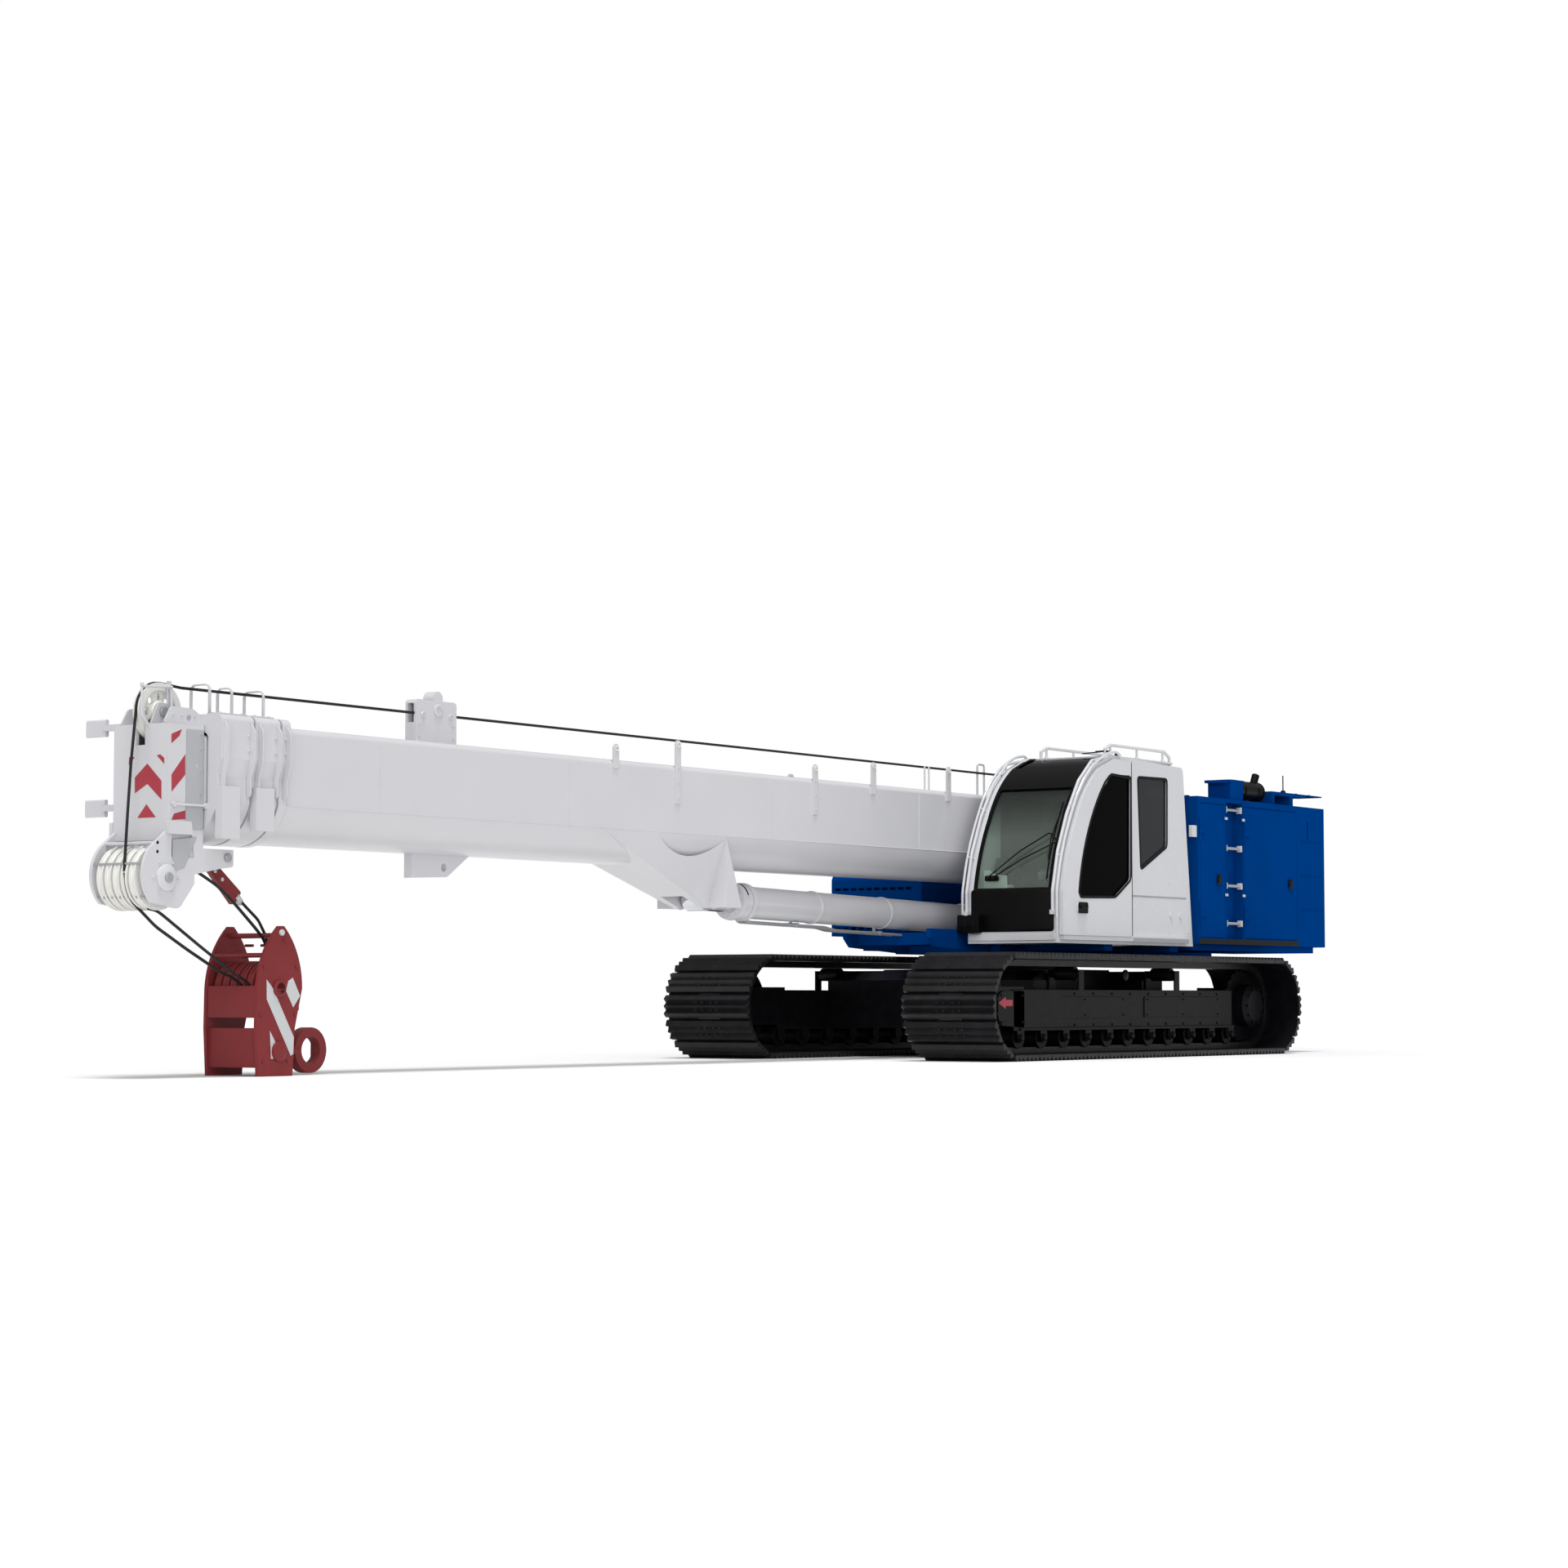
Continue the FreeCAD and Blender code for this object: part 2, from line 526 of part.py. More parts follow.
# Side beam of one track: a channel open below for the rollers, with the idler yoke, the drive plate,
# roller ears and carrier posts
def track_frame(side, sign):
    body = new_body("track_frame_" + side)
    pad(body, "XZ_Plane", "-beam_half", "beam_half", [rect("-" + BEAM_END, BEAM_LOW, BEAM_END, BEAM_HIGH)])
    pocket(body, "XZ_Plane", "beam_side - beam_half", "beam_half - beam_side",
           [rect("-%s - door_gap" % BEAM_END, BEAM_LOW + " - door_gap", BEAM_END + " + door_gap",
                 ROLLER_TOP)])
    low, high = mirrored(sign, "beam_half - running_gap", "beam_half + flange_out")
    pad(body, "XZ_Plane", low, high, [rect("-" + BEAM_END, BEAM_LOW, BEAM_END, BEAM_LOW + " + flange_high")])
    low, high = mirrored(sign, "beam_half - running_gap", "beam_half + panel_proud")
    pad(body, "XZ_Plane", low, high,
        [rect(BEAM_END + " - panel_long", BEAM_LOW, BEAM_END + " + wheel_room", BEAM_HIGH)])
    end = "(%s + arm_end)" % REACH
    arm = [(BEAM_END + " - wheel_room", "track_height / 2 - arm_drop"),
           (end, "track_height / 2 - arm_drop", "arm_corner"),
           (end, "track_height / 2 + arm_rise", "arm_corner"),
           (BEAM_END + " - wheel_room", "track_height / 2 + arm_rise")]
    for low, high in (("beam_half - arm_wall", "beam_half"), ("-beam_half", "arm_wall - beam_half")):
        pad(body, "XZ_Plane", low, high, [arm])
    back = [("-(%s)" % point[0],) + point[1:] for point in arm]
    low, high = mirrored(sign, "-beam_half", "arm_wall - beam_half")
    pad(body, "XZ_Plane", low, high, [back])
    for low, high in (("-beam_half", "ear_wall - beam_half"), ("beam_half - ear_wall", "beam_half")):
        ear = pad(body, "XZ_Plane", low, high,
                  [[("-%s - ear_half" % ROLLER_END, BEAM_LOW + " + door_gap"),
                    ("-%s - ear_half" % ROLLER_END, ROLLER_Z),
                    ("-" + ROLLER_END, ROLLER_Z + " - ear_half", "via"),
                    ("-%s + ear_half" % ROLLER_END, ROLLER_Z),
                    ("-%s + ear_half" % ROLLER_END, BEAM_LOW + " + door_gap")]])
        repeat(body, ear, "H_Axis", "2 * " + ROLLER_END, "roller_count")
    for low, high in (("-beam_half", "-carrier_seat - running_gap"),
                      ("carrier_seat + running_gap", "beam_half")):
        post = pad(body, "XZ_Plane", low, high,
                   [rect("-carrier_spread - post_half", BEAM_HIGH + " - door_gap",
                         "-carrier_spread + post_half", "track_height / 2 + post_rise")])
        repeat(body, post, "H_Axis", "2 * carrier_spread", "2")
    place(body, "0", "%d * track_offset" % sign, "0")


def car_body():
    body = new_body("car_body")
    span = "(track_offset - beam_half - panel_proud)"
    low, high = "track_height / 2 - centre_drop", "track_height / 2 + centre_rise"
    seat = RING_TOP + " - ring_depth"
    pad(body, "XY_Plane", low, high,
        [rect("-centre_half", "-centre_half", "centre_half", "centre_half", "centre_corner")])
    for near, far in (("axle_beam_in", "axle_beam_out"), ("-axle_beam_out", "-axle_beam_in")):
        pad(body, "XY_Plane", "track_height / 2 - axle_beam_drop", "track_height / 2 + axle_beam_rise",
            [rect(near, "-track_offset + beam_half", far, "track_offset - beam_half")])
        pad(body, "XZ_Plane", "-" + span, span,
            [[(near, "track_height / 2 + axle_beam_rise - door_gap"),
              (far, "track_height / 2 + axle_beam_rise - door_gap"),
              ("(%s + %s) / 2" % (near, far), "track_height / 2 + centre_rise - door_gap", "arm_corner")]])
    pad(body, "XY_Plane", high + " - bearing_gap", seat, [("circle", "0", "0", "pedestal_radius")])
    ring = new_body("slew_ring")
    pad(ring, "XY_Plane", seat, RING_TOP,
        [("circle", "0", "0", "ring_radius"), ("circle", "0", "0", "ring_radius - ring_wall")])


# Slewing deck: spigot on the ring, deck plate, rear wings, cab arms and the step platform
def swing_frame():
    body = upper_body("swing_frame")
    pad(body, "XY_Plane", "bearing_gap", "deck_low + bearing_gap",
        [("circle", "0", "0", "ring_radius - ring_wall / 2")])
    pad(body, "XY_Plane", "deck_low", "deck_high",
        [rect(DECK_REAR, "-deck_half", "deck_front", "deck_half")])
    for spot in ("arm_rear_x", "arm_front_x"):
        pad(body, "XY_Plane", "deck_low + web_half", "cab_low",
            [rect(spot + " - arm_half", "deck_half - door_gap", spot + " + arm_half", "arm_out")])
    for low, high in (("deck_half - door_gap", "wing_half"), ("-wing_half", "door_gap - deck_half")):
        pad(body, "XY_Plane", "wing_low", "wing_high",
            [rect("house_rear - wing_rear", low, "house_front", high)])
    pad(body, "XY_Plane", "wing_low", "side_box_low",
        [rect("house_front + running_gap", "-step_out", "step_front", "door_gap - deck_half")])
    pad(body, "XY_Plane", "wing_low", "wing_high",
        [rect("house_front - door_gap", "-step_out", "house_front + door_gap", "door_gap - deck_half")])


# Two plates that carry the boom and its lift cylinder, their pins and the web between them
def boom_mounts():
    body = upper_body("boom_mounts")
    spine = [("nose_front", "nose_mid"), ("nose_chamfer", "nose_low"), ("deck_front", "deck_low"),
             ("deck_front", "deck_high"), (DECK_REAR, "deck_high"), (DECK_REAR, "spine_high"),
             ("foot_x - ear_back", "spine_high"), ("foot_x - foot_ear", "foot_z + foot_ear", "ear_corner"),
             ("foot_x + foot_ear", "foot_z + foot_ear", "ear_corner"), ("foot_x + ear_front", "spine_high"),
             ("spine_front", "spine_high - spine_drop"), ("deck_front + spine_drop", "nose_high"),
             ("nose_front", "nose_high")]
    for sign in (1, -1):
        low, high = mirrored(sign, "plate_in", "plate_in + plate_wall")
        pad(body, "XZ_Plane", low, high, [spine])
        low, high = mirrored(sign, "plate_in + plate_wall - running_gap", "plate_in + plate_wall + pin_cap")
        pad(body, "XZ_Plane", low, high, [("circle", "foot_x", "foot_z", "foot_pin")])
    pocket(body, "XZ_Plane", "-plate_in - plate_wall - door_gap", "plate_in + plate_wall + door_gap",
           [("circle", "nose_hole_x", "nose_hole_z", "nose_hole")])
    inside = ("running_gap - plate_in", "plate_in - running_gap")
    pad(body, "XZ_Plane", inside[0], inside[1], [("circle", "foot_x", "foot_z", "foot_pin")])
    pad(body, "XZ_Plane", inside[0], inside[1], [("circle", "lift_base_x", "lift_base_z", "lift_pin")])
    pad(body, "XZ_Plane", inside[0], inside[1],
        [rect("nose_chamfer - 3 * nose_web", "nose_low + nose_web / 2", "nose_chamfer - 2 * nose_web",
              "nose_web_high")])


def counterweight():
    body = upper_body("counterweight")
    rear = "(house_rear - weight_long)"
    pad(body, "XY_Plane", "wing_high", "house_high",
        [[("house_rear - running_gap", "-house_out"), ("house_rear - running_gap", "house_out"),
          (rear, "house_out"), (rear + " - weight_bulge", "0", "via"), (rear, "-house_out")]])
    for sign in (1, -1):
        low, high = mirrored(sign, "house_out - slot_deep", "house_out + door_gap")
        pocket(body, "XZ_Plane", low, high,
               [rect("house_rear - weight_long / 3 - slot_wide", "slot_low", "house_rear - weight_long / 3",
                     "slot_high")])


# Machinery housings beside the boom, with the openings that their doors close
# Columns: name, rear edge, front edge of the opening; the door hangs at its front edge
DOORS = (("front_door_", "(ladder_front + door_post)", "(house_front - door_post)"),
         ("rear_door_", "(house_rear + door_post)", "(ladder_rear - door_post)"))
HINGE_HEIGHTS = ("(wing_high + 250)", "(house_high - 350)")


def housing(side, sign):
    body = upper_body("housing_" + side)
    low, high = mirrored(sign, "house_in", "house_out")
    pad(body, "XZ_Plane", low, high, [rect("house_rear", "wing_high", "house_front", "house_high")])
    low, high = mirrored(sign, "house_in + house_wall", "house_out - house_wall")
    pocket(body, "XZ_Plane", low, high,
           [rect("house_rear + house_wall", "wing_high + house_wall", "house_front - house_wall",
                 "house_high - house_wall")])
    low, high = mirrored(sign, "house_out - ladder_depth - house_wall", "house_out - 1")
    pad(body, "XZ_Plane", low, high,
        [rect("ladder_rear - house_wall", "wing_high + 1", "ladder_front + house_wall", "house_high - 1")])
    low, high = mirrored(sign, "house_out - ladder_depth", "house_out + 1")
    pocket(body, "XZ_Plane", low, high,
           [rect("ladder_rear", "wing_high + door_post", "ladder_front", "house_high - house_wall")])
    low, high = mirrored(sign, "house_out - house_wall - door_gap", "house_out + door_gap")
    for name, rear, front in DOORS:
        pocket(body, "XZ_Plane", low, high, [rect(rear, "wing_high + door_sill", front,
                                                  "house_high - door_sill")])
        for height in HINGE_HEIGHTS:
            for start in ("-knuckle_long - running_gap", "knuckle_long + running_gap"):
                knuckle = height + start if start[0] == "-" else height + " + " + start
                pad(body, "XY_Plane", knuckle, knuckle + " + knuckle_long",
                    [("circle", front + " + hinge_set", "%d * (house_out + hinge_out)" % sign,
                      "knuckle_radius")])
    if sign > 0:
        roof_gear(body)


# Air intake, muffler and the plate shelf on top of the left housing
def roof_gear(body):
    pad(body, "XY_Plane", "house_high - 1", "intake_high",
        [rect(INTAKE_X + " - intake_half", "intake_y - intake_half", INTAKE_X + " + intake_half",
              "intake_y + intake_half", "20")])
    pad(body, "XY_Plane", "intake_high - 1", "intake_high + intake_lip",
        [rect(INTAKE_X + " - intake_half - intake_lip", "intake_y - intake_half - intake_lip",
              INTAKE_X + " + intake_half + intake_lip", "intake_y + intake_half", "20")])
    pad(body, "XZ_Plane", "shelf_in", "shelf_out",
        [[(SHELF_FRONT, "shelf_low"), (SHELF_FRONT, "shelf_high"), (SHELF_REAR, "shelf_high"),
          (SHELF_REAR, "shelf_high - shelf_wall"), (SHELF_REAR + " + shelf_box", "shelf_high - shelf_wall"),
          (SHELF_REAR + " + shelf_box", "shelf_low")]])
    for edge in (SHELF_FRONT + " - shelf_foot", "house_rear + door_gap"):
        pad(body, "XY_Plane", "house_high - 1", "shelf_low + 1",
            [rect(edge, "shelf_in", edge + " + shelf_foot", "shelf_out")])


def muffler():
    body = upper_body("muffler")
    pad(body, "YZ_Plane", MUFFLER_REAR, MUFFLER_FRONT,
        [("circle", "muffler_y", "muffler_z", "muffler_radius")])
    pad(body, "XY_Plane", "house_high", "muffler_z",
        [("circle", MUFFLER_REAR + " + muffler_long / 2", "muffler_y", "muffler_radius / 2")])


def housing_doors(side, sign):
    for name, rear, front in DOORS:
        body = upper_body(name + side)
        low, high = mirrored(sign, "house_out - door_wall", "house_out")
        pad(body, "XZ_Plane", low, high,
            [rect(rear + " + door_gap", "wing_high + door_sill + door_gap", front + " - door_gap",
                  "house_high - door_sill - door_gap")])
        axis = front + " + hinge_set"
        near = "%d * (house_out - 3)" % sign
        seam = "%d * (house_out + running_gap)" % sign
        far = "%d * (house_out + hinge_out + 4)" % sign
        for height in HINGE_HEIGHTS:
            pad(body, "XY_Plane", height, height + " + knuckle_long",
                [[(axis + " - strap_long", near), (front + " - door_gap - 1", near),
                  (front + " - door_gap - 1", seam), (axis, seam), (axis, far),
                  (axis + " - strap_long", far)]])
            pad(body, "XY_Plane", height, height + " + knuckle_long",
                [("circle", axis, "%d * (house_out + hinge_out)" % sign, "hinge_out - running_gap")])
        low, high = mirrored(sign, "house_out - 1", "house_out + latch_out")
        edge = rear + " + latch_long"
        pad(body, "XZ_Plane", low, high,
            [rect(edge, "latch_z - latch_high / 2", edge + " + latch_long", "latch_z + latch_high / 2",
                  "12")])


# Box on the right of the deck, with two rows of slots in its front
def right_box():
    body = upper_body("side_box")
    pad(body, "XZ_Plane", "-house_out", "-side_box_in",
        [[("house_front + running_gap", "side_box_low"), ("side_box_front", "side_box_low"),
          ("side_box_front", "side_box_high", "60"), ("house_front + running_gap", "side_box_high")]])
    for low in ("side_box_low + 60", "side_box_high - 150"):
        slot = pocket(body, "YZ_Plane", "side_box_front - grille_deep", "side_box_front + 1",
                      [rect("-house_out + door_post", low, "-house_out + door_post + grille_long",
                            low + " + grille_high")])
        repeat(body, slot, "H_Axis", "(grille_count - 1) * grille_pitch", "grille_count")


RUNG_HEIGHTS = ("345", "705", "1065", "1435")


def ladder():
    body = upper_body("ladder")
    for height in RUNG_HEIGHTS:
        pad(body, "YZ_Plane", "ladder_rear + running_gap", "ladder_front - running_gap",
            [("circle", "house_out - rung_in", height, "rung_radius")])


def engine():
    body = upper_body("engine_block")
    rear = "house_rear + 160"
    pad(body, "XZ_Plane", "house_in + engine_in", "house_out - engine_out",
        [rect(rear, "wing_high + house_wall", rear + " + engine_long",
              "wing_high + house_wall + engine_high", "60")])


# Winch drum between two bearing plates
def winch():
    plates = upper_body("winch_plates")
    face = "(drum_half + winch_gap)"
    profile = [(WINCH_X + " - winch_foot", "deck_high"), (WINCH_X + " + winch_foot", "deck_high"),
               (WINCH_X + " + winch_head", "winch_z + winch_over", "80"),
               (WINCH_X + " - winch_head", "winch_z + winch_over", "80")]
    for sign in (1, -1):
        low, high = mirrored(sign, face, "plate_in - running_gap")
        pad(plates, "XZ_Plane", low, high, [profile])
    pad(plates, "XZ_Plane", "-" + face, face, [("circle", WINCH_X, "winch_z", "winch_axle")])
    drum = upper_body("winch_drum")
    bore = "winch_axle + pin_gap"
    turned(drum, [(bore, "-drum_half"), ("drum_flange", "-drum_half"),
                  ("drum_flange", "drum_wall - drum_half"),
                  ("drum_radius", "drum_wall - drum_half"), ("drum_radius", "drum_half - drum_wall"),
                  ("drum_flange", "drum_half - drum_wall"), ("drum_flange", "drum_half"),
                  (bore, "drum_half")])
    place(drum, WINCH_X, "0", RING_TOP + " + winch_z")


# Operator's cab with its curved front, window openings and floor
CAB_SIDE = [("1400", "cab_low"), ("1400", "575"), ("1310", "905", "via"), ("1150", "1235"),
            ("940", "1535", "via"), ("710", "1715"), ("410", "1830", "60"),
            ("cab_rear + 180", "1785", "50"), ("cab_rear", "cab_low")]
CAB_INSIDE = [("1350", "cab_low + cab_floor"), ("1350", "570"), ("1262", "890", "via"),
              ("1108", "1208"), ("905", "1497", "via"), ("687", "1668"), ("400", "1777"),
              ("cab_rear + 220", "1735"), ("cab_rear + 50", "cab_low + cab_floor")]
DOOR_HOLE = [("1290", "245"), ("1290", "575"), ("1205", "885", "via"), ("1050", "1195"),
             ("850", "1490", "via"), ("690", "1655"), ("180", "1695"), ("180", "245")]
DOOR_SIDE = [("1362", "door_low"), ("1362", "575"), ("1272", "900", "via"), ("1114", "1225"),
             ("912", "1515", "via"), ("700", "1691"), ("405", "1790", "40"), ("100", "1785"),
             ("100", "door_low")]
DOOR_WINDOW = [("1080", "565"), ("1070", "525", "20"), ("420", "540", "60"), ("130", "705", "60"),
               ("115", "1655", "30"), ("475", "1645", "60"), ("690", "1465"), ("928", "1080", "via")]
SIDE_WINDOW = [("-90", "1655", "25"), ("-660", "1665", "25"), ("-650", "1035", "40"), ("-140", "805", "40")]
INNER_WINDOW = [("-900", "595", "80"), ("900", "595", "80"), ("900", "1445", "80"), ("-900", "1445", "80")]
FRONT_RAIL = [("rail_x", "385"), ("rail_x", "575"), ("1352", "925"), ("1190", "1260"), ("975", "1565"),
              ("735", "1757"), ("520", "1795")]
ROOF_TUBE = [("300", "1795"), ("300", "1895"), ("200", "1935"), ("-830", "1935"), ("-930", "1885"),
             ("-930", "1765")]


def cab_shell():
    body = upper_body("cab_shell")
    pad(body, "XZ_Plane", "cab_in", "cab_out", [CAB_SIDE])
    pocket(body, "XZ_Plane", "cab_in + cab_wall", "cab_out - cab_wall", [CAB_INSIDE])
    pocket(body, "YZ_Plane", "900", "1500", [rect("cab_in + pillar_in", "screen_low",
                                                  "cab_out - pillar_out", "1655", "30")])
    pocket(body, "YZ_Plane", "1370", "1500",
           [rect("cab_in + pillar_in", "screen_sill", "cab_out - pillar_out", "screen_low - door_post",
                 "30")])
    pocket(body, "XY_Plane", "1595", "1895", [rect("350", "cab_in + pillar_in", "960",
                                                   "cab_out - pillar_out", "30")])
    inner = ("cab_out - cab_wall - door_gap", "cab_out + door_gap")
    pocket(body, "XZ_Plane", inner[0], inner[1], [DOOR_HOLE])
    pocket(body, "XZ_Plane", inner[0], inner[1], [SIDE_WINDOW])
    pocket(body, "XZ_Plane", "cab_in - door_gap", "cab_in + cab_wall + door_gap", [INNER_WINDOW])
    pocket(body, "YZ_Plane", "cab_rear - 20", "cab_rear + 260",
           [rect("cab_in + 150", "895", "cab_out - 150", "1595", "60")])
    pad(body, "XZ_Plane", "cab_out - door_gap", "house_out - 8",
        [rect("-1000", "cab_low + 30", "1340", "door_low - running_gap")])
    pad(body, "YZ_Plane", "1399", "1400 + lamp_out",
        [rect("cab_in - lamp_left", "213", "cab_in + lamp_right", "365", "15")])
    for across in ("cab_in + rail_in", "cab_out - rail_in"):
        tube(body, across, ROOF_TUBE, "roof_tube")
    for across in ("cab_in + roof_tube", "cab_out - roof_tube"):
        tube(body, across, FRONT_RAIL, "roof_tube")
        pad(body, "XZ_Plane", across + " - rail_foot", across + " + rail_foot",
            [rect("1399", "385 - rail_foot", "rail_x + rail_foot", "385 + rail_foot")])


def cab_door():
    body = upper_body("cab_door")
    pad(body, "XZ_Plane", "cab_out + door_gap", "house_out", [DOOR_SIDE])
    pocket(body, "XZ_Plane", "cab_out", "house_out + door_gap", [DOOR_WINDOW])
    pad(body, "XZ_Plane", "house_out - door_gap", "house_out + handle_out",
        [rect("960", "385", "1120", "475", "20")])


def cab_glass():
    body = upper_body("cab_glass")
    middle = "cab_in + cab_wall / 2"
    pad(body, "XZ_Plane", middle, middle + " + glass_wall", [INNER_WINDOW])
    middle = "cab_out - cab_wall / 2"
    pad(body, "XZ_Plane", middle, middle + " + glass_wall", [SIDE_WINDOW])
    door = upper_body("door_glass")
    pad(door, "XZ_Plane", "house_out - 25", "house_out - 25 + glass_wall", [DOOR_WINDOW])


def cab_inside():
    seat = upper_body("operator_seat")
    floor = "cab_low + cab_floor"
    pad(seat, "XZ_Plane", "seat_in", "seat_out",
        [[("-350", floor), ("250", floor), ("300", "575", "40"), ("-230", "565", "30"),
          ("-340", "1245", "50"), ("-480", "1225", "50")]])
    for low, high in (("seat_in - console_wall", "seat_in + 1"),
                      ("seat_out - 1", "seat_out + console_wall")):
        pad(seat, "XZ_Plane", low, high, [rect("-150", floor, "300", "715", "40")])


# Boom tube of one section, drawn inward from the base section's outline
def tube_outline(inset, out="0"):
    side = "(boom_half - (%s) + (%s))" % (inset, out)
    top = "boom_top - (%s) + (%s)" % (inset, out)
    return [("-" + side, "boom_crease"), ("-" + side, top, "boom_corner"), (side, top, "boom_corner"),
            (side, "boom_crease"), ("0", "boom_low + (%s) - (%s)" % (inset, out), "via")]


# Collar of a section: wide over its shoulders and close to the tube lower down
def collar_outline():
    side, neck, top = "(boom_half + collar_out)", "(boom_half + collar_neck)", "boom_top + collar_out"
    return [("-" + neck, "boom_crease"), ("-" + neck, "collar_waist"), ("-" + side, "collar_shoulder"),
            ("-" + side, top, "boom_corner"), (side, top, "boom_corner"), (side, "collar_shoulder"),
            (neck, "collar_waist"), (neck, "boom_crease"), ("0", "boom_low - collar_neck", "via")]


COLLAR_TWO = "(base_front + collar_gap)"
COLLAR_THREE = "(base_front + 2 * collar_gap + collar_two)"
HEAD_REAR = "(base_front + 2 * collar_gap + collar_two + collar_three + head_gap + 5)"
# Columns: name, number of steps inward, rear end, collar rear, collar front
SECTIONS = (("boom_base", 0, "boom_rear", "(base_front - collar_long)", "base_front"),
            ("boom_section_two", 1, "inner_rear", COLLAR_TWO, COLLAR_TWO + " + collar_two"),
            ("boom_section_three", 2, "inner_rear + inner_stagger", COLLAR_THREE,
             COLLAR_THREE + " + collar_three"))


def boom_sections():
    for name, step, rear, collar_rear, collar_front in SECTIONS:
        inset = "%d * boom_step" % step
        body = upper_body(name)
        pad(body, "YZ_Plane", rear, collar_rear, [tube_outline(inset)])
        if step:
            boom_pads(body, rear, step)
        pad(body, "YZ_Plane", collar_rear, collar_front, [collar_outline()])
        if not step:
            lift_bracket(body)
            boom_fittings(body)
        pocket(body, "YZ_Plane", rear + " - 1", collar_front + " + 1",
               [tube_outline(inset + " + boom_wall")])
        for sign in (1, -1):
            low, high = ("notch_in", "notch_out") if sign > 0 else ("-notch_out", "-notch_in")
            middle = "(%s + %s) / 2" % (collar_rear, collar_front)
            if step:
                pocket(body, "XY_Plane", "boom_top + collar_out - notch_deep", "boom_top + collar_out + 1",
                       [rect(middle + " - notch_long / 2", low, middle + " + notch_long / 2", high)])
                low, high = mirrored(sign, "boom_half", "boom_half + flank_out")
                pad(body, "XZ_Plane", low, high,
                    [rect(collar_front + " - flank_long", "flank_low + %d * flank_out" % (3 - step),
                          collar_front, "flank_high")])
        rope_hoop(body, *HOOPS[name])
        if not step:
            boom_foot(body)
    boom_tip()


# Columns: place along the boom, the two sides and the top of the hoop over the hoist rope
HOOPS = {"boom_base": ("base_front - 45", "-10", "180", "1745"),
         "boom_section_two": (COLLAR_TWO + " + 120", "-85", "60", "1760"),
         "boom_section_three": (COLLAR_THREE + " + 150", "-50", "135", "1760")}


def rope_hoop(body, along, left, right, top):
    pad(body, "YZ_Plane", along + " - hoop_wall", along + " + hoop_wall",
        [rect(left, "boom_top + collar_out - 5", right, top, "50")])
    pocket(body, "YZ_Plane", along + " - hoop_wall - 1", along + " + hoop_wall + 1",
           [rect(left + " + hoop_wall", "boom_top + collar_out", right + " - hoop_wall",
                 top + " - hoop_wall", "30")])


def boom_pads(body, rear, step):
    pad(body, "YZ_Plane", rear, rear + " + pad_long",
        [tube_outline("%d * boom_step + boom_wall + pad_gap" % (step - 1))])


# Bracket for the lift cylinder: tapered sides with a curved saddle, open between its two cheeks
def lift_bracket(body):
    top, low = "boom_crease", "bracket_low"
    side = [("bracket_rear", top), ("bracket_low_rear", low), ("bracket_low_front", low),
            ("bracket_front", top)]
    pad(body, "XZ_Plane", "-boom_half", "boom_half", [side])
    for sign in (1, -1):
        low_half, reach = "%d * bracket_low_half" % sign, "%d * boom_half" % sign
        out = "%d * (boom_half + door_gap)" % sign
        pocket(body, "YZ_Plane", "bracket_rear - 1", "bracket_front + 1",
               [[(low_half, "bracket_low - door_gap"), (reach, "boom_crease"), (out, "boom_crease"),
                 (out, "bracket_low - door_gap")]])
        low, high = mirrored(sign, "cheek_in", "boom_half + door_gap")
        pocket(body, "XZ_Plane", low, high,
               [[("saddle_x - saddle_half", "boom_crease + 1"),
                 ("saddle_x + saddle_half", "boom_crease + 1"),
                 ("saddle_x", "boom_crease - saddle_depth", "via")]])
    pad(body, "YZ_Plane", "bracket_rear - 30", "bracket_front + 30", [tube_outline("0")])
    pocket(body, "XZ_Plane", "-cheek_in", "cheek_in",
           [rect("bracket_low_rear - door_gap", "bracket_low - door_gap", "eye_room", "boom_low")])


# Rope guide box, rope stands and the stowing lug of the base section
def boom_fittings(body):
    hump = "(guide_hump_x - guide_half)"
    pad(body, "XZ_Plane", "-guide_half", "guide_half",
        [[("guide_rear", "boom_top - door_gap"), ("guide_front", "boom_top - door_gap"),
          ("guide_front", "guide_high", "30"), ("guide_hump_x + guide_half", "guide_high"),
          ("guide_hump_x", "guide_hump", "via"), (hump, "guide_high"), ("guide_rear", "guide_high", "30")]])
    pocket(body, "XZ_Plane", "rope_radius - guide_half", "guide_half - rope_radius",
           [rect("guide_rear + 60", "boom_top + 60", "guide_front - 60", "guide_high - 30")])
    pocket(body, "XZ_Plane", "-30", "30",
           [rect("guide_rear - 1", "1655", "guide_front + 1", "guide_high - 30")])
    for along, top, strap in STANDS:
        pad(body, "XZ_Plane", "boom_half - 1", "boom_half + stand_wall",
            [[(along + " - stand_half", strap), (along + " + stand_half", strap),
              (along + " + stand_half", top + " - stand_half"), (along, top, "via"),
              (along + " - stand_half", top + " - stand_half")]])
        pocket(body, "XZ_Plane", "boom_half - 5", "boom_half + stand_wall + 5",
               [("circle", along, top + " - stand_half", "stand_hole")])
    pad(body, "XZ_Plane", "-lug_half", "lug_half",
        [[("lug_mid - lug_back", "boom_low + 35"), ("lug_mid", "lug_low + 15", "50"),
          ("lug_mid + lug_nose", "lug_low"), ("lug_mid + lug_nose", "boom_low + 35")]])
    pocket(body, "XZ_Plane", "-lug_half - 1", "lug_half + 1",
           [("circle", "lug_mid + lug_hole_out", "lug_hole_z", "lug_hole")])


# Columns: place along the boom, top, foot of the strap
STANDS = (("5500", "1685", "stand_strap"), ("3550", "1605", "stand_strap"), ("2650", "1675", "1395"),
          ("1420", "1705", "1395"), ("6310", "1605", "1415"))


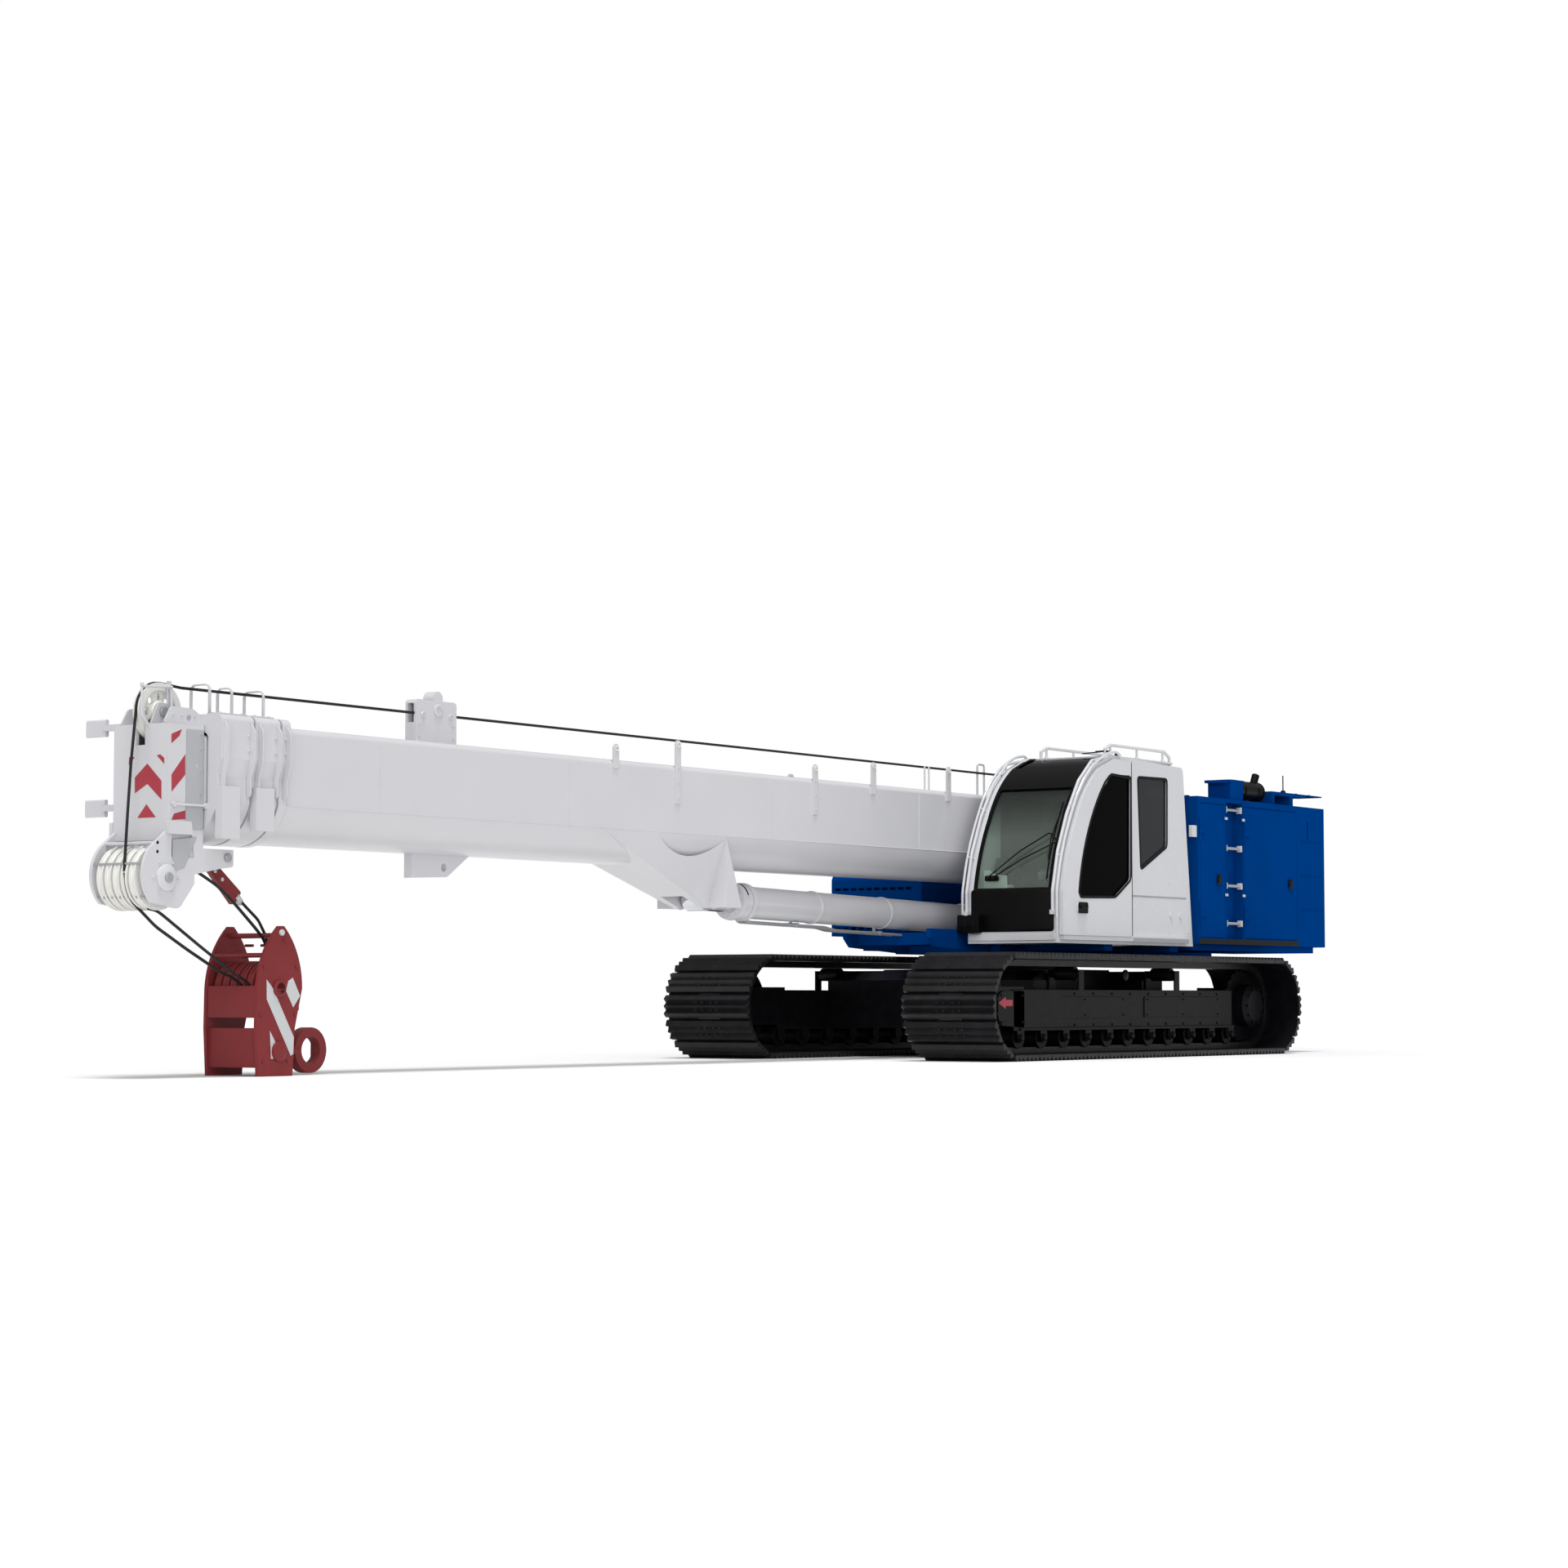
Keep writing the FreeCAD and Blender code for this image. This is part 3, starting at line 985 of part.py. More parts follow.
def boom_foot(body):
    for sign in (1, -1):
        low, high = mirrored(sign, "boom_half - 2 * boom_wall", "plate_in - foot_gap")
        pad(body, "XZ_Plane", low, high, [("circle", "foot_x", "foot_z", "foot_boss")])
    pocket(body, "XZ_Plane", "-plate_in", "plate_in", [("circle", "foot_x", "foot_z", "foot_pin + pin_gap")])


def boom_tip():
    body = upper_body("boom_tip")
    rear, step = "inner_rear + 2 * inner_stagger", len(SECTIONS)
    inset = "%d * boom_step" % step
    pad(body, "YZ_Plane", rear, HEAD_REAR, [tube_outline(inset)])
    boom_pads(body, rear, step)
    pocket(body, "YZ_Plane", rear + " - 1", HEAD_REAR + " - 1", [tube_outline(inset + " + boom_wall")])
    boom_head(body)


def boom_head(body):
    wall = "head_wall"
    plate = [(HEAD_REAR, "head_top"), ("head_front", "head_top"), ("head_front", "head_side_low"),
             ("low_sheave_x + cheek_side", "low_sheave_z + cheek_top"),
             ("low_sheave_x + cheek_reach", "low_sheave_z", "via"),
             ("low_sheave_x + cheek_foot", "low_sheave_z - cheek_drop"),
             ("low_sheave_x - cheek_foot", "head_low", "60"),
             ("low_sheave_x - cheek_back", "low_sheave_z - 34", "30"),
             ("low_sheave_x - cheek_back", "low_sheave_z + 29"),
             ("socket_pin_x + socket_half", "socket_pin_z - socket_half - 15"),
             ("socket_pin_x - socket_half", "socket_pin_z - socket_half", "20"),
             ("socket_pin_x - socket_half", "socket_high"), (HEAD_REAR, "socket_high")]
    for sign in (1, -1):
        low, high = mirrored(sign, "head_half - " + wall, "head_half")
        pad(body, "XZ_Plane", low, high, [plate])
        low, high = mirrored(sign, "head_half - head_wall / 2", "head_half + 1")
        pocket(body, "XZ_Plane", low, high,
               [[("recess_rear", "recess_low"), ("recess_front", "recess_low"),
                 ("recess_front", "recess_high"),
                 ("recess_rear + 30", "recess_high")]])
    edge, inner = "head_half - 5", "sheave_slot"
    pad(body, "YZ_Plane", "head_front - " + wall, "head_front",
        [[("-(%s)" % edge, "brow_low"), (edge, "brow_low"), (edge, "head_top"), (inner, "head_top"),
          (inner, "head_top - slot_depth"), ("-" + inner, "head_top - slot_depth"),
          ("-" + inner, "head_top"),
          ("-(%s)" % edge, "head_top")]])
    pad(body, "YZ_Plane", HEAD_REAR + " - 1", HEAD_REAR + " + 20",
        [rect("-head_half", "socket_high", "head_half", "head_top - panel_drop")])
    for sign in (1, -1):
        low, high = mirrored(sign, "cheek_near", "cheek_near + cheek_wall")
        pad(body, "XZ_Plane", low, high,
            [[("top_sheave_x - 185", "head_top - 40"), ("top_sheave_x + 130", "head_top - 40"),
              ("top_sheave_x + 40", "top_sheave_z + 60", "30"),
              ("top_sheave_x - 40", "top_sheave_z + 60", "30")]])
        pad(body, "XZ_Plane", low, high,
            [rect("top_sheave_x - 75", "top_sheave_z", "top_sheave_x - 45", "top_sheave_z + 212")])
        low, high = mirrored(sign, inner, edge)
        pad(body, "XZ_Plane", low, high,
            [rect("top_sheave_x - 185", "head_top - 60", "top_sheave_x + 130", "head_top - 30")])
    pad(body, "XZ_Plane", "-cheek_near - cheek_wall", "cheek_near + cheek_wall",
        [("circle", "top_sheave_x", "top_sheave_z", "sheave_pin")])
    pad(body, "XZ_Plane", "-head_half - 20", "head_half + 20",
        [("circle", "low_sheave_x", "low_sheave_z", "sheave_pin")])
    pad(body, "XZ_Plane", "-head_half", "head_half",
        [("circle", "socket_pin_x", "socket_pin_z", "socket_pin")])
    for height, inner_end in (("jib_arm_low", "5 - head_half"), ("jib_arm_high", "-cheek_near - 1")):
        pad(body, "XZ_Plane", "-jib_arm_out", inner_end,
            [rect("jib_arm_x - jib_arm_half", height + " - jib_arm_half", "jib_arm_x + jib_arm_half",
                  height + " + jib_arm_half")])
        pad(body, "XZ_Plane", "-jib_pad_out", "20 - jib_arm_out",
            [rect("jib_arm_x - 15", height + " - jib_pad_half", "jib_arm_x + 15",
                  height + " + jib_pad_half", "12")])


# Copies of a sheave with a round rope groove, side by side across the pin
def sheave_row(name, radius, count, bore):
    form = new_body(name + "_form")
    groove = "(rope_radius + groove_gap)"
    turned(form, [(bore, "-sheave_width / 2"), (radius, "-sheave_width / 2"), (radius, "-" + groove),
                  ("%s - %s" % (radius, groove), "0", "via"), (radius, groove), (radius, "sheave_width / 2"),
                  (bore, "sheave_width / 2")])
    shape = spare(form)
    return copies(shape, [(0, (number - (count - 1) / 2) * sheet.sheave_pitch, 0)
                          for number in range(count)])


def sheaves():
    bore = "sheave_pin + pin_gap"
    tops = Part.makeCompound(sheave_row("top_sheave", "top_sheave_radius", 1, bore))
    node = feature_node("top_sheave", tops)
    place(node, "top_sheave_x", "0", RING_TOP + " + top_sheave_z")
    low = Part.makeCompound(sheave_row("head_sheaves", "low_sheave_radius", 5, bore))
    node = feature_node("head_sheaves", low)
    place(node, "low_sheave_x", "0", RING_TOP + " + low_sheave_z")


# Lift cylinder along its own +X, then turned onto the line from its base pin to its eye
def lift_cylinder():
    reach = "sqrt((lift_eye_x - lift_base_x) ^ 2 + (lift_eye_z - lift_base_z) ^ 2)"
    barrel = new_body("lift_barrel")
    mouth = reach + " - barrel_end"
    pad(barrel, "XZ_Plane", "-barrel_eye_half", "barrel_eye_half", [("circle", "0", "0", "barrel_eye")])
    pad(barrel, "YZ_Plane", "barrel_start", mouth + " - gland_long / 2",
        [("circle", "0", "0", "barrel_radius")])
    pad(barrel, "YZ_Plane", mouth + " - gland_long", mouth, [("circle", "0", "0", "gland_radius")])
    pocket(barrel, "YZ_Plane", "bore_start", mouth + " + door_gap",
           [("circle", "0", "0", "rod_radius + pin_gap")])
    pocket(barrel, "XZ_Plane", "-barrel_eye_half - 1", "barrel_eye_half + 1",
           [("circle", "0", "0", "lift_pin + pin_gap")])
    rod = new_body("lift_rod")
    pad(rod, "YZ_Plane", "rod_start", reach + " - rod_neck", [("circle", "0", "0", "rod_radius")])
    pad(rod, "XZ_Plane", "-rod_eye_half", "rod_eye_half", [("circle", reach, "0", "rod_eye")])
    pad(rod, "XZ_Plane", "running_gap - cheek_in", "cheek_in - running_gap",
        [("circle", reach, "0", "lift_pin")])
    rise = value("atan((lift_eye_z - lift_base_z) / (lift_eye_x - lift_base_x))")
    for body in (barrel, rod):
        body.Placement.Rotation = FreeCAD.Rotation(FreeCAD.Vector(0, -1, 0), rise)
        place(body, "lift_base_x", "0", RING_TOP + " + lift_base_z")


# Hook block: rope sheaves on their axle, cheek plates, crosshead and ring hook
def hook_block():
    axle = new_body("axle_form")
    pad(axle, "XZ_Plane", "-block_half - 20", "block_half + 20", [("circle", "0", "0", "sheave_pin")])
    shapes = [spare(axle)] + sheave_row("block_sheaves", "block_sheave_radius", 5, "sheave_pin - 3")
    fused = shapes[0].multiFuse(shapes[1:])
    node = feature_node("block_sheaves", fused)
    place(node, "block_x", "0", "block_z")
    body = new_body("hook_block")
    cheek = [("block_x - 45", "block_top"), ("block_x - 180", "block_z + 240", "via"),
             ("block_x - 230", "block_z"),
             ("block_x - 160", "block_z - 270"), ("block_x - 140", "block_floor"),
             ("block_x + 200", "block_floor"), ("block_x + 220", "block_z - 270"),
             ("block_x + 215", "block_z"),
             ("block_x + 150", "block_z + 240", "via"), ("block_x + 5", "block_top")]
    for sign in (1, -1):
        low, high = mirrored(sign, "block_half - block_plate", "block_half")
        pad(body, "XZ_Plane", low, high, [cheek])
    inside = ("5 - block_half", "block_half - 5")
    pad(body, "XZ_Plane", inside[0], inside[1], [("circle", "block_x", "trunnion_z", "trunnion_radius")])
    pad(body, "XZ_Plane", inside[0], inside[1],
        [rect("block_x + 150", "60", "block_x + 190", "block_z - 270")])
    pocket(body, "XZ_Plane", "-block_half - 5", "block_half + 5",
           [("circle", "block_x", "block_z", "sheave_pin + pin_gap")])
    hook = new_body("ring_hook")
    pad(hook, "XZ_Plane", "-70", "70", [("circle", "block_x", "trunnion_z", "trunnion_radius + 45")])
    pad(hook, "YZ_Plane", "hook_ring_x + hook_ring_in + 20", "block_x - trunnion_radius",
        [("circle", "0", "trunnion_z", "shank_radius")])
    pad(hook, "XZ_Plane", "-hook_half", "hook_half",
        [("circle", "hook_ring_x", "trunnion_z", "hook_ring_out"),
                                                      ("circle", "hook_ring_x", "trunnion_z",
                                                       "hook_ring_in")])
    pocket(hook, "XZ_Plane", "-75", "75", [("circle", "block_x", "trunnion_z", "trunnion_radius + pin_gap")])


# Four rope falls between the head sheaves and the block, each lying in the grooves of its sheaves
def rope_parts():
    start = FreeCAD.Vector(sheet.low_sheave_x, 0, value(RING_TOP + " + low_sheave_z"))
    end = FreeCAD.Vector(sheet.block_x, 0, sheet.block_z)
    radii = (sheet.low_sheave_radius - sheet.groove_gap / 2,
             sheet.block_sheave_radius - sheet.groove_gap / 2)
    span = end - start
    lean = math.asin((radii[0] - radii[1]) / span.Length)
    falls = []
    for number in (-2, -1, 1, 2):
        turn = 1 if number % 2 else -1
        side = FreeCAD.Vector(0, 1, 0).cross(span).normalize() * turn
        side = FreeCAD.Rotation(FreeCAD.Vector(0, 1, 0), -turn * math.degrees(lean)).multVec(side)
        across = FreeCAD.Vector(0, number * sheet.sheave_pitch, 0)
        top = start + side * radii[0] + across
        low = end + side * radii[1] + across
        falls.append(Part.makeCylinder(sheet.rope_radius, (low - top).Length, top, low - top))
    feature_node("fall_ropes", Part.makeCompound(falls))
    body = upper_body("rope_socket")
    half = "socket_wall / 2"
    pad(body, "XZ_Plane", "-" + half, half,
        [[("socket_pin_x + 40", "socket_pin_z + 30", "15"), ("socket_pin_x - 30", "socket_pin_z + 50", "15"),
          ("socket_end_x - 20", "socket_end_z + 40", "15"),
          ("socket_end_x + 50", "socket_end_z - 50", "15")]])
    pocket(body, "XZ_Plane", "-socket_wall", "socket_wall",
           [("circle", "socket_pin_x", "socket_pin_z", "socket_pin + pin_gap")])


def check_and_write():
    doc.recompute()
    for thing in doc.Objects:
        if "Invalid" in thing.State or "Error" in thing.State:
            raise RuntimeError("failed: %s %s" % (thing.Label, thing.State))
    for node in nodes:
        if node.Shape.isNull() or not node.Shape.isValid():
            raise RuntimeError("bad shape: " + node.Label)
    for node in nodes:
        node.Shape.exportStep("parts/%s.step" % node.Label)
        print(node.Label, len(node.Shape.Solids), round(node.Shape.Volume / 1e9, 4))


tracks()
for side, sign in SIDES:
    idler(side, sign)
    sprocket(side, sign)
    track_frame(side, sign)
    housing(side, sign)
    housing_doors(side, sign)
rollers()
car_body()
swing_frame()
boom_mounts()
counterweight()
muffler()
right_box()
ladder()
engine()
winch()
cab_shell()
cab_door()
cab_glass()
cab_inside()
boom_sections()
sheaves()
lift_cylinder()
hook_block()
rope_parts()
check_and_write()
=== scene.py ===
import bpy
import bmesh
import math
import random
from mathutils import Matrix, Vector
from mathutils.geometry import tessellate_polygon


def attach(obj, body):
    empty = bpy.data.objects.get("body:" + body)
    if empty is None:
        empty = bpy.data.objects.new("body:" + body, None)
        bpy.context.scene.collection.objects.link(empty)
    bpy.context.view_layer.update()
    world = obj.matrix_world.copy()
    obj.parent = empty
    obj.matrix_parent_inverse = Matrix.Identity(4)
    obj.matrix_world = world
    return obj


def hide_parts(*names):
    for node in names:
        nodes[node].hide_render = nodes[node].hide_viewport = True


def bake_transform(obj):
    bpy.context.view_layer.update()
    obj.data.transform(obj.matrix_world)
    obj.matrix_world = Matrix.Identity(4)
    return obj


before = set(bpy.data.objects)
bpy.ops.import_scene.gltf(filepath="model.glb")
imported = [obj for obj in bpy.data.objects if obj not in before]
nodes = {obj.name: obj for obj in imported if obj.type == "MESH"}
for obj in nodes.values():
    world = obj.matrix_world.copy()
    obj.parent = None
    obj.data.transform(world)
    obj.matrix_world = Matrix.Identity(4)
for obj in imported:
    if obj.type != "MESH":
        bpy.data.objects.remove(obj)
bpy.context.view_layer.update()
random.seed(7)
print("frame is in,", len(nodes), "nodes")


# camera, floor and light
shot = {"place": (26.860, 16.183, 0.529), "heading": 0.964948, "pitch": 0.064295, "lens": 76.65}


def setCamera():
    lens = bpy.data.cameras.new("camera")
    lens.lens = shot["lens"]
    lens.sensor_width = 36
    lens.clip_end = 400
    camera = bpy.data.objects.new("camera", lens)
    bpy.context.scene.collection.objects.link(camera)
    flat = math.cos(shot["pitch"])
    look = Vector((-flat * math.sin(shot["heading"]), -flat * math.cos(shot["heading"]),
                   math.sin(shot["pitch"])))
    camera.location = shot["place"]
    camera.rotation_euler = look.to_track_quat("-Z", "Y").to_euler()
    bpy.context.scene.camera = camera


def fillIn(tree, node, values):    # a value that is another node's output is linked
    for socket, value in values.items():
        if isinstance(value, bpy.types.NodeSocket):
            tree.links.new(value, node.inputs[socket])
        else:
            node.inputs[socket].default_value = value


def addNode(tree, kind, values, **settings):
    node = tree.nodes.new("ShaderNode" + kind)
    for setting, choice in settings.items():
        setattr(node, setting, choice)
    fillIn(tree, node, values)
    return node


studio = {"white": (1, 1, 1, 1), "worldLight": 0.38, "sunPower": 2.1, "sunAngle": 18,
          "sunFrom": (0.12, 0.16, 1.0), "fillPower": 1.3, "fillAngle": 60, "fillFrom": (0.72, 0.64, 0.38),
          "floorRadius": 160, "floorTint": 0.87, "floorMottle": 1.01, "floorGrain": 0.4}


def setStudio():
    world = bpy.data.worlds.new("studio")
    bpy.context.scene.world = world
    world.use_nodes = True
    tree = world.node_tree
    back = tree.nodes["Background"]
    fillIn(tree, back, {"Color": studio["white"], "Strength": studio["worldLight"]})
    seen = addNode(tree, "Background", {"Color": studio["white"], "Strength": 1})
    rays = addNode(tree, "LightPath", {}).outputs
    direct = addNode(tree, "Math", {0: rays["Is Camera Ray"], 1: rays["Is Transmission Ray"]},
                     operation="MAXIMUM")
    mix = addNode(tree, "MixShader", {0: direct.outputs[0], 1: back.outputs[0], 2: seen.outputs[0]})
    fillIn(tree, tree.nodes["World Output"], {"Surface": mix.outputs[0]})
    for name in ("sun", "fill"):
        light = bpy.data.lights.new(name, "SUN")
        light.energy = studio[name + "Power"]
        light.angle = math.radians(studio[name + "Angle"])
        lamp = bpy.data.objects.new(name, light)
        lamp.rotation_euler = (-Vector(studio[name + "From"])).to_track_quat("-Z", "Y").to_euler()
        bpy.context.scene.collection.objects.link(lamp)


def setFloor():
    mesh = bpy.data.meshes.new("floor")
    shape = bmesh.new()
    bmesh.ops.create_circle(shape, cap_ends=True, segments=96, radius=studio["floorRadius"])
    shape.to_mesh(mesh)
    shape.free()
    floor = bpy.data.objects.new("floor", mesh)
    bpy.context.scene.collection.objects.link(floor)
    pale = bpy.data.materials.new("floorPaper")
    pale.use_nodes = True
    tree = pale.node_tree
    grain = addNode(tree, "TexNoise", {"Scale": studio["floorGrain"]})
    tint = addNode(tree, "ValToRGB", {0: grain.outputs["Fac"]})
    for stop, change in zip(tint.color_ramp.elements, (1, studio["floorMottle"])):
        stop.color = [studio["floorTint"] * change] * 3 + [1]
    skin = tree.nodes["Principled BSDF"]
    fillIn(tree, skin, {"Base Color": tint.outputs[0], "Roughness": 1, "Specular IOR Level": 0})
    floor.data.materials.append(pale)


setCamera()
setStudio()
setFloor()
bpy.context.scene.view_settings.view_transform = "Standard"
print("camera and studio are set")


# paints and metals
grain = {"cloudScale": 1.7, "cloudDetail": 6, "cloudStops": (0.3, 0.7), "filmScale": 9, "filmDetail": 8,
         "filmFrom": 0.42, "filmTo": 0.75, "fineDetail": 5, "reliefDepth": 0.01, "coatRough": 0.12,
         "glassIndex": 1.45}


def painted(name, colour, rough=0.35, metal=0.0, coat=0.0, mottle=0.05, dust=0.0,
            dustTint=(0.32, 0.30, 0.27), bump=0.02, grainScale=40, roughSwing=0.08, soften=0.006,
            shine=0.5):
    mat = bpy.data.materials.new(name)
    mat.use_nodes = True
    tree = mat.node_tree
    place = addNode(tree, "TexCoord", {}).outputs["Object"]
    cloud = addNode(tree, "TexNoise", {"Scale": grain["cloudScale"], "Detail": grain["cloudDetail"],
                                      "Vector": place})
    tones = addNode(tree, "ValToRGB", {0: cloud.outputs["Fac"]})
    stops = tones.color_ramp.elements
    for stop, spot, change in zip(stops, grain["cloudStops"], (1 - mottle, 1 + mottle)):
        stop.position = spot
        stop.color = [min(1, c * change) for c in colour] + [1]
    tint = tones.outputs[0]
    if dust:
        film = addNode(tree, "TexNoise", {"Scale": grain["filmScale"], "Detail": grain["filmDetail"],
                                          "Vector": place})
        amount = addNode(tree, "MapRange", {"From Min": grain["filmFrom"], "From Max": grain["filmTo"],
                                            "To Max": dust, "Value": film.outputs["Fac"]})
        over = addNode(tree, "Mix", {"Factor": amount.outputs[0], "A": tint, "B": list(dustTint) + [1]},
                       data_type="RGBA")
        tint = over.outputs["Result"]
    fine = addNode(tree, "TexNoise", {"Scale": grainScale, "Detail": grain["fineDetail"],
                                      "Vector": place}).outputs["Fac"]
    gloss = addNode(tree, "MapRange", {"To Min": max(0.02, rough - roughSwing),
                                       "To Max": min(1, rough + roughSwing), "Value": fine})
    edge = addNode(tree, "Bevel", {"Radius": soften}, samples=4)    # rounds the look of sharp plate edges
    relief = addNode(tree, "Bump", {"Strength": bump, "Distance": grain["reliefDepth"], "Height": fine,
                                    "Normal": edge.outputs[0]})
    fillIn(tree, tree.nodes["Principled BSDF"], {
        "Base Color": tint, "Roughness": gloss.outputs[0], "Normal": relief.outputs[0], "Metallic": metal,
        "Specular IOR Level": shine, "Coat Weight": coat, "Coat Roughness": grain["coatRough"]})
    return mat


def tinted(name, colour, see, rough=0.03, shine=0.2, deepFrom=0.0, deepTo=0.0, deepTint=(0, 0, 0, 1)):
    mat = painted(name, colour, rough, mottle=0.03, bump=0.004, roughSwing=0.02, soften=0.001)
    tree = mat.node_tree
    skin = tree.nodes["Principled BSDF"]
    fillIn(tree, skin, {"Transmission Weight": see, "IOR": grain["glassIndex"], "Specular IOR Level": shine})
    if deepTo:    # the tint deepens towards the roof
        base = skin.inputs["Base Color"].links[0].from_socket
        place = addNode(tree, "TexCoord", {}).outputs["Object"]
        split = addNode(tree, "SeparateXYZ", {0: place})
        height = addNode(tree, "MapRange", {"From Min": deepFrom, "From Max": deepTo,
                                            "Value": split.outputs["Z"]})
        shade = addNode(tree, "Mix", {"Factor": height.outputs[0], "A": base, "B": deepTint},
                        data_type="RGBA")
        fillIn(tree, skin, {"Base Color": shade.outputs["Result"]})
    return mat


# for each finish its slot, its colour and what differs from the usual paint
looks = {
    "boomWhite": ("boom_white", (0.62, 0.62, 0.645), dict(rough=0.32, coat=0.3, mottle=0.02)),
    "cabWhite": ("cab_white", (0.63, 0.635, 0.66), dict(rough=0.25, coat=0.4, mottle=0.015)),
    # grey of the head's side panel, also the colour of the painted shade below it
    "headGrey": ("boom_white", (0.42, 0.43, 0.45), dict(rough=0.4, mottle=0.04)),
    "deepBlue": ("body_blue", (0.0, 0.04, 0.205), dict(rough=0.5, mottle=0.06, shine=0.0)),
    "trackSteel": ("track_steel", (0.006, 0.006, 0.0075),
                   dict(rough=0.36, mottle=0.25, bump=0.12, grainScale=60, dust=0.02, shine=0.3)),
    "frameBlack": ("frame_black", (0.0035, 0.0033, 0.0048),
                   dict(rough=0.4, mottle=0.2, dust=0.01, shine=0.12)),
    "hookRed": ("hook_red", (0.205, 0.026, 0.029), dict(rough=0.42, mottle=0.1, bump=0.04, shine=0.2)),
    "nylon": ("sheave_nylon", (0.76, 0.755, 0.72), dict(rough=0.5, bump=0.03, soften=0.002)),
    "castIron": ("engine_iron", (0.12, 0.12, 0.125), dict(rough=0.6, metal=0.5, mottle=0.2, bump=0.15)),
    "greySteel": ("grey_steel", (0.36, 0.37, 0.39), dict(rough=0.4, metal=0.3, mottle=0.06, soften=0.002)),
    # black plastic parts, also the black of the plates of painted shade in pockets, slots and shoe holes
    "blackPlastic": ("frame_black", (0.003, 0.003, 0.0032),
                     dict(rough=0.4, mottle=0.12, bump=0.06, grainScale=120, soften=0.003, shine=0.1)),
    "chrome": ("bright_rod", (0.72, 0.73, 0.75),
               dict(rough=0.12, metal=1.0, mottle=0.02, bump=0.01, roughSwing=0.04)),
    "seatCloth": ("seat_cloth", (0.03, 0.03, 0.033),
                  dict(rough=0.85, mottle=0.2, bump=0.3, grainScale=160)),
    "drumSteel": ("drum_steel", (0.03, 0.03, 0.034), dict(rough=0.45, metal=0.6, mottle=0.2, bump=0.1)),
    "ropeSteel": ("wire_rope", (0.012, 0.012, 0.013),
                  dict(rough=0.5, metal=0.4, mottle=0.3, bump=0.3, grainScale=300, soften=0.001)),
    "paleGrey": ("grey_steel", (0.56, 0.57, 0.58), dict(rough=0.4, soften=0.003)),
    "signRed": ("hook_red", (0.4, 0.045, 0.065), dict(rough=0.4, mottle=0.06, soften=0.001, shine=0.3)),
    "screenGlass": ("cab_glass", (0.72, 0.85, 0.76),
                    dict(see=0.95, deepFrom=1.95, deepTo=2.42, deepTint=(0.012, 0.02, 0.015, 1))),
    "doorGlass": ("cab_glass", (0.0008, 0.0008, 0.001), dict(see=0.05, shine=0.02)),
    "rearGlass": ("cab_glass", (0.03, 0.032, 0.036), dict(see=0.3)),
}
finishes = {name: (tinted if "see" in look[2] else painted)(name, look[1], **look[2])
            for name, look in looks.items()}

# the nodes of each finish by how their names begin; the first that fits is taken, and the rest are black
nodeFinish = {
    "deepBlue": ("swing", "boom_mounts", "counterweight", "housing", "side_box", "winch_plates",
                 "front_door", "rear_door"),
    "boomWhite": ("boom_", "lift_barrel"), "trackSteel": ("track_left", "track_right"),
    "cabWhite": ("cab_shell", "cab_door"), "rearGlass": ("cab_glass",), "doorGlass": ("door_glass",),
    "seatCloth": ("operator_seat",), "castIron": ("engine_block",), "greySteel": ("ladder",),
    "blackPlastic": ("muffler",), "drumSteel": ("winch_drum",), "chrome": ("lift_rod",),
    "nylon": ("top_sheave", "head_sheaves"), "ropeSteel": ("fall_ropes",),
    "hookRed": ("rope_socket", "block_sheaves", "hook_block", "ring_hook"),
}


def dressNodes():
    for name, thing in nodes.items():
        finish = next((paint for paint, starts in nodeFinish.items() if name.startswith(starts)),
                      "frameBlack")
        for number in range(max(1, len(thing.data.materials))):
            if number < len(thing.data.materials):
                thing.data.materials[number] = finishes[finish]
            else:
                thing.data.materials.append(finishes[finish])


dressNodes()
print("nodes are painted")


# mesh makers shared by all the pieces
bench = bmesh.new()    # the makers add to what lies here, and putPiece makes it a piece and clears it


def joinShape(part):
    mesh = bpy.data.meshes.new("part")
    part.to_mesh(mesh)
    part.free()
    bench.from_mesh(mesh)
    bpy.data.meshes.remove(mesh)


def lay(pair, depth, axis):
    a, b = pair
    return {"x": Vector((depth, a, b)), "y": Vector((a, depth, b)), "z": Vector((a, b, depth))}[axis]


def cutPlate(outline, low, high, axis, holes=(), bevel=0.0):
    part = bmesh.new()
    loops = [list(outline)] + [list(hole) for hole in holes]
    flat = [pair for loop in loops for pair in loop]
    lows = [part.verts.new(lay(pair, low, axis)) for pair in flat]
    highs = [part.verts.new(lay(pair, high, axis)) for pair in flat]
    for tri in tessellate_polygon([[Vector((a, b, 0)) for a, b in loop] for loop in loops]):
        part.faces.new([lows[i] for i in tri])
        part.faces.new([highs[i] for i in reversed(tri)])
    start = 0
    for loop in loops:
        count = len(loop)
        for i in range(count):
            j = (i + 1) % count
            part.faces.new([lows[start + i], lows[start + j], highs[start + j], highs[start + i]])
        start += count
    bmesh.ops.recalc_face_normals(part, faces=part.faces)
    if bevel:
        edges = [e for e in part.edges if len(e.link_faces) == 2 and e.calc_face_angle(0) > 0.6]
        bmesh.ops.bevel(part, geom=edges, offset=bevel, segments=1, affect="EDGES", clamp_overlap=True)
    joinShape(part)


def roundCorner(before, spot, after, radius, share, steps):    # share: the most that it takes of a side
    spot = Vector(spot)
    back, ahead = Vector(before) - spot, Vector(after) - spot
    cut = min(radius, back.length * share, ahead.length * share)
    start, end = spot + back.normalized() * cut, spot + ahead.normalized() * cut
    return [start * (1 - t) ** 2 + spot * 2 * t * (1 - t) + end * t ** 2
            for t in [step / steps for step in range(steps + 1)]]


def rounded(outline, radius, steps=4):
    points = []
    for i, spot in enumerate(outline):
        after = outline[(i + 1) % len(outline)]
        points += [tuple(p) for p in roundCorner(outline[i - 1], spot, after, radius, 0.45, steps)]
    return points


